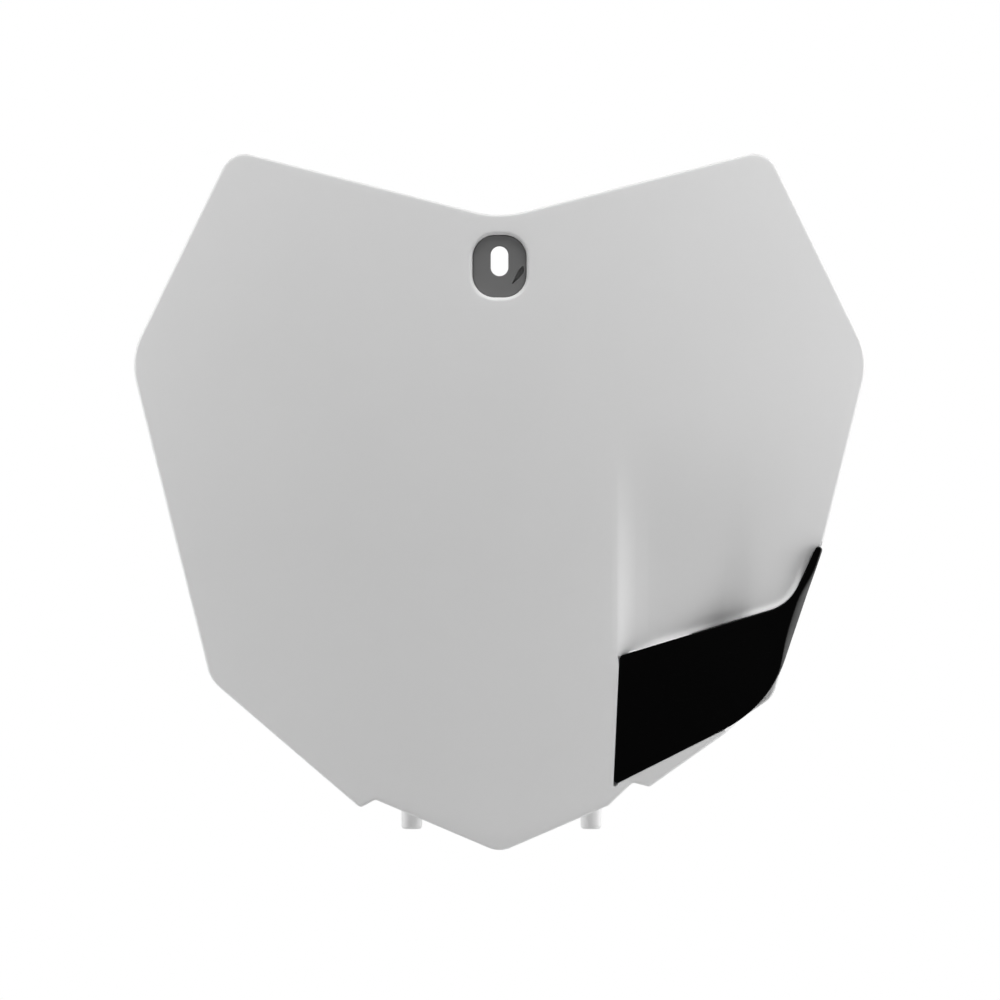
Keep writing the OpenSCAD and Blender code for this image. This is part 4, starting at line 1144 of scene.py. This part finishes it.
def plastic(name, effect_group, greys, rough, grain_size, bump, level, graze=0):
    """Moulded finish: a grey between two values, roughness between two values, and a grain in the normal.

    The mirror level is plain where the surface faces the camera. Where graze is given, the level rises to
    graze where the surface turns away.
    """
    material = bpy.data.materials.new(name)
    material.use_nodes = True
    nodes, link = material.node_tree.nodes, material.node_tree.links.new
    shader = nodes["Principled BSDF"]
    place, effect = nodes.new("ShaderNodeTexCoord"), nodes.new("ShaderNodeGroup")
    effect.node_tree = effect_group
    set_inputs(effect, Grain_Size=grain_size)
    link(place.outputs["Object"], effect.inputs["Vector"])
    tone = nodes.new("ShaderNodeMix")
    tone.data_type = "RGBA"
    colours = [s for s in tone.inputs if s.type == "RGBA"]
    for colour, grey in zip(colours, greys):
        colour.default_value = (grey, grey, grey, 1)
    link(effect.outputs["Tone"], tone.inputs["Factor"])
    link(next(s for s in tone.outputs if s.type == "RGBA"), shader.inputs["Base Color"])
    polish = nodes.new("ShaderNodeMapRange")
    set_inputs(polish, From_Min=NOISE_LOW, From_Max=NOISE_HIGH, To_Min=rough[0], To_Max=rough[1])
    link(effect.outputs["Polish"], polish.inputs["Value"])
    link(polish.outputs["Result"], shader.inputs["Roughness"])
    relief = nodes.new("ShaderNodeBump")
    set_inputs(relief, Strength=bump, Distance=GRAIN_HEIGHT * MM)
    link(effect.outputs["Height"], relief.inputs["Height"])
    link(relief.outputs["Normal"], shader.inputs["Normal"])
    shader.inputs["Specular IOR Level"].default_value = level
    if graze:
        facing, sheen = nodes.new("ShaderNodeLayerWeight"), nodes.new("ShaderNodeMapRange")
        set_inputs(facing, Blend=0.5)
        set_inputs(sheen, From_Min=TURN_LOW, From_Max=TURN_HIGH, To_Min=level, To_Max=graze)
        link(facing.outputs["Facing"], sheen.inputs["Value"])
        link(sheen.outputs["Result"], shader.inputs["Specular IOR Level"])
    return material


def satin_white_plastic(grain):
    greys, rough = (0.79, 0.82), (0.42, 0.5)
    return plastic("satin_white_plastic", grain, greys, rough, grain_size=2500, bump=0.12, level=0.4)


def matt_black_plastic(grain):
    greys, rough = (0.0012, 0.0024), (0.4, 0.5)
    name = "matt_black_plastic"
    return plastic(name, grain, greys, rough, grain_size=2200, bump=0.2, level=0.01, graze=0.3)


def dull_grey_rubber(grain):
    greys, rough = (0.16, 0.205), (0.6, 0.75)
    return plastic("dull_grey_rubber", grain, greys, rough, grain_size=3000, bump=0.3, level=0.25)


# Lamps, backdrop and camera, in metres

# Middle of the board, ranges over which the world's light changes, and the floor's greys
BOARD_MIDDLE = (0, 0, -0.09)
WORLD_DEPTH = (-0.35, 0.3)
WORLD_HEIGHT = (-0.4, 0.4)
FLOOR_GREY = (0.7, 0.7, 0.7, 1)
FLOOR_GLOW = (0.6, 0.6, 0.6, 1)
WHITE = (1, 1, 1, 1)

# The camera's place, and its focal length and film width in mm
CAMERA_PLACE = (0.18 * MM, -2.994, -85.7 * MM)
CAMERA_LENS = 300
CAMERA_FILM = 36


def soft_lamp(name, place, size, watts):
    """Area lamp at a place in metres, turned to the middle of the board."""
    data = bpy.data.lights.new(name, "AREA")
    data.shape, data.size, data.size_y, data.energy = "RECTANGLE", size[0], size[1], watts
    lamp = bpy.data.objects.new(name, data)
    bpy.context.scene.collection.objects.link(lamp)
    lamp.location = place
    aim = np.array(BOARD_MIDDLE) - np.array(place)
    lamp.rotation_euler = Vector(aim).to_track_quat("-Z", "Y").to_euler()
    lamp.visible_camera = False


def white_surround(front_low, front_high, back_low, back_high):
    """World: white to the camera, in reflections and through glass. For light it blends four strengths,
    from low to high and from the camera's side to the far side."""
    world = bpy.data.worlds.new("white_surround")
    bpy.context.scene.world = world
    world.use_nodes = True
    nodes, link = world.node_tree.nodes, world.node_tree.links.new
    nodes.clear()
    place, split = nodes.new("ShaderNodeTexCoord"), nodes.new("ShaderNodeSeparateXYZ")
    link(place.outputs["Generated"], split.inputs[0])

    def step_of(axis, span, least, most):
        step = nodes.new("ShaderNodeMapRange")
        step.interpolation_type = "SMOOTHSTEP"
        set_inputs(step, From_Min=span[0], From_Max=span[1], To_Min=least, To_Max=most)
        link(split.outputs[axis], step.inputs["Value"])
        return step.outputs["Result"]

    def maths(kind, a, b):
        node = nodes.new("ShaderNodeMath")
        node.operation = kind
        link(a, node.inputs[0])
        link(b, node.inputs[1])
        return node.outputs[0]

    light = nodes.new("ShaderNodeMix")
    link(step_of("Y", WORLD_DEPTH, 0, 1), light.inputs[0])
    link(step_of("Z", WORLD_HEIGHT, front_low, front_high), light.inputs[2])
    link(step_of("Z", WORLD_HEIGHT, back_low, back_high), light.inputs[3])
    path = nodes.new("ShaderNodeLightPath")
    seen = maths("MAXIMUM", path.outputs["Is Camera Ray"], path.outputs["Is Transmission Ray"])
    seen = maths("MAXIMUM", seen, path.outputs["Is Glossy Ray"])
    strength = maths("MAXIMUM", light.outputs[0], seen)
    surround, out = nodes.new("ShaderNodeBackground"), nodes.new("ShaderNodeOutputWorld")
    set_inputs(surround, Color=WHITE)
    link(strength, surround.inputs["Strength"])
    link(surround.outputs[0], out.inputs["Surface"])


def pale_floor(height, near, far, half_width):
    """Plain floor below the picture: mostly white to the camera, and it keeps the board's shadow."""
    corners = [(side * half_width, y, height) for side, y in ((-1, near), (1, near), (1, far), (-1, far))]
    mesh = bpy.data.meshes.new("floor")
    mesh.from_pydata(corners, [], [(0, 1, 2, 3)])
    floor = bpy.data.objects.new("floor", mesh)
    bpy.context.scene.collection.objects.link(floor)
    material = bpy.data.materials.new("pale_floor")
    material.use_nodes = True
    nodes, link = material.node_tree.nodes, material.node_tree.links.new
    nodes.clear()
    matt, glow = nodes.new("ShaderNodeBsdfDiffuse"), nodes.new("ShaderNodeEmission")
    set_inputs(matt, Color=FLOOR_GREY)
    set_inputs(glow, Color=FLOOR_GLOW)
    path, both = nodes.new("ShaderNodeLightPath"), nodes.new("ShaderNodeAddShader")
    out = nodes.new("ShaderNodeOutputMaterial")
    link(path.outputs["Is Camera Ray"], glow.inputs["Strength"])
    link(matt.outputs[0], both.inputs[0])
    link(glow.outputs[0], both.inputs[1])
    link(both.outputs[0], out.inputs["Surface"])
    mesh.materials.append(material)


def front_camera():
    """Long lens 3 m in front of the board, so that a pixel of the picture is 0.36 mm."""
    data = bpy.data.cameras.new("camera")
    data.lens, data.sensor_width = CAMERA_LENS, CAMERA_FILM
    camera = bpy.data.objects.new("camera", data)
    bpy.context.scene.collection.objects.link(camera)
    camera.location = CAMERA_PLACE
    camera.rotation_euler = (math.pi / 2, 0, 0)
    bpy.context.scene.camera = camera


# The whole

grain = moulded_grain()
satin_white = satin_white_plastic(grain)
matt_black = matt_black_plastic(grain)
dull_grey = dull_grey_rubber(grain)

sheet = make_piece("moulded_sheet", *white_sheet(), "plate", satin_white, "plate")
cut_windows(sheet)
for side, hand in ((-1, "left"), (1, "right")):
    turned, webs = peg_parts(side)
    make_piece(f"peg_{hand}", *join_parts(turned), "plate", satin_white, "plate", sharp=50)
    make_piece(f"peg_bracket_{hand}", *join_parts(webs), "plate", satin_white, "plate", bevel=0.35)
make_piece("pocket_ribs", *join_parts(rib_parts()), "plate", satin_white, "plate", bevel=0.3)
make_piece("guide_panel", *guide_panel(), "hose_guide", matt_black, "hose_guide")
make_piece("guide_hooks", *join_parts(hook_parts()), "hose_guide", matt_black, "hose_guide", bevel=0.2)
make_piece("rubber_bush", *bush(), "top_grommet", dull_grey, "top_grommet")

front_camera()
white_surround(front_low=0, front_high=0.34, back_low=0.6, back_high=0)
pale_floor(height=-0.31, near=-1.2, far=0.4, half_width=0.8)
soft_lamp("above", place=(0, -0.7, 2.4), size=(1.8, 1.0), watts=50)
soft_lamp("right", place=(2.6, -0.5, 0.2), size=(1.0, 1.6), watts=10)
soft_lamp("right_rear", place=(2.5, 0.5, 0.1), size=(1.0, 1.6), watts=43)
soft_lamp("left_rear", place=(-2.5, 0.5, 0.1), size=(1.0, 1.6), watts=39)

bpy.context.scene.view_settings.view_transform = "Standard"
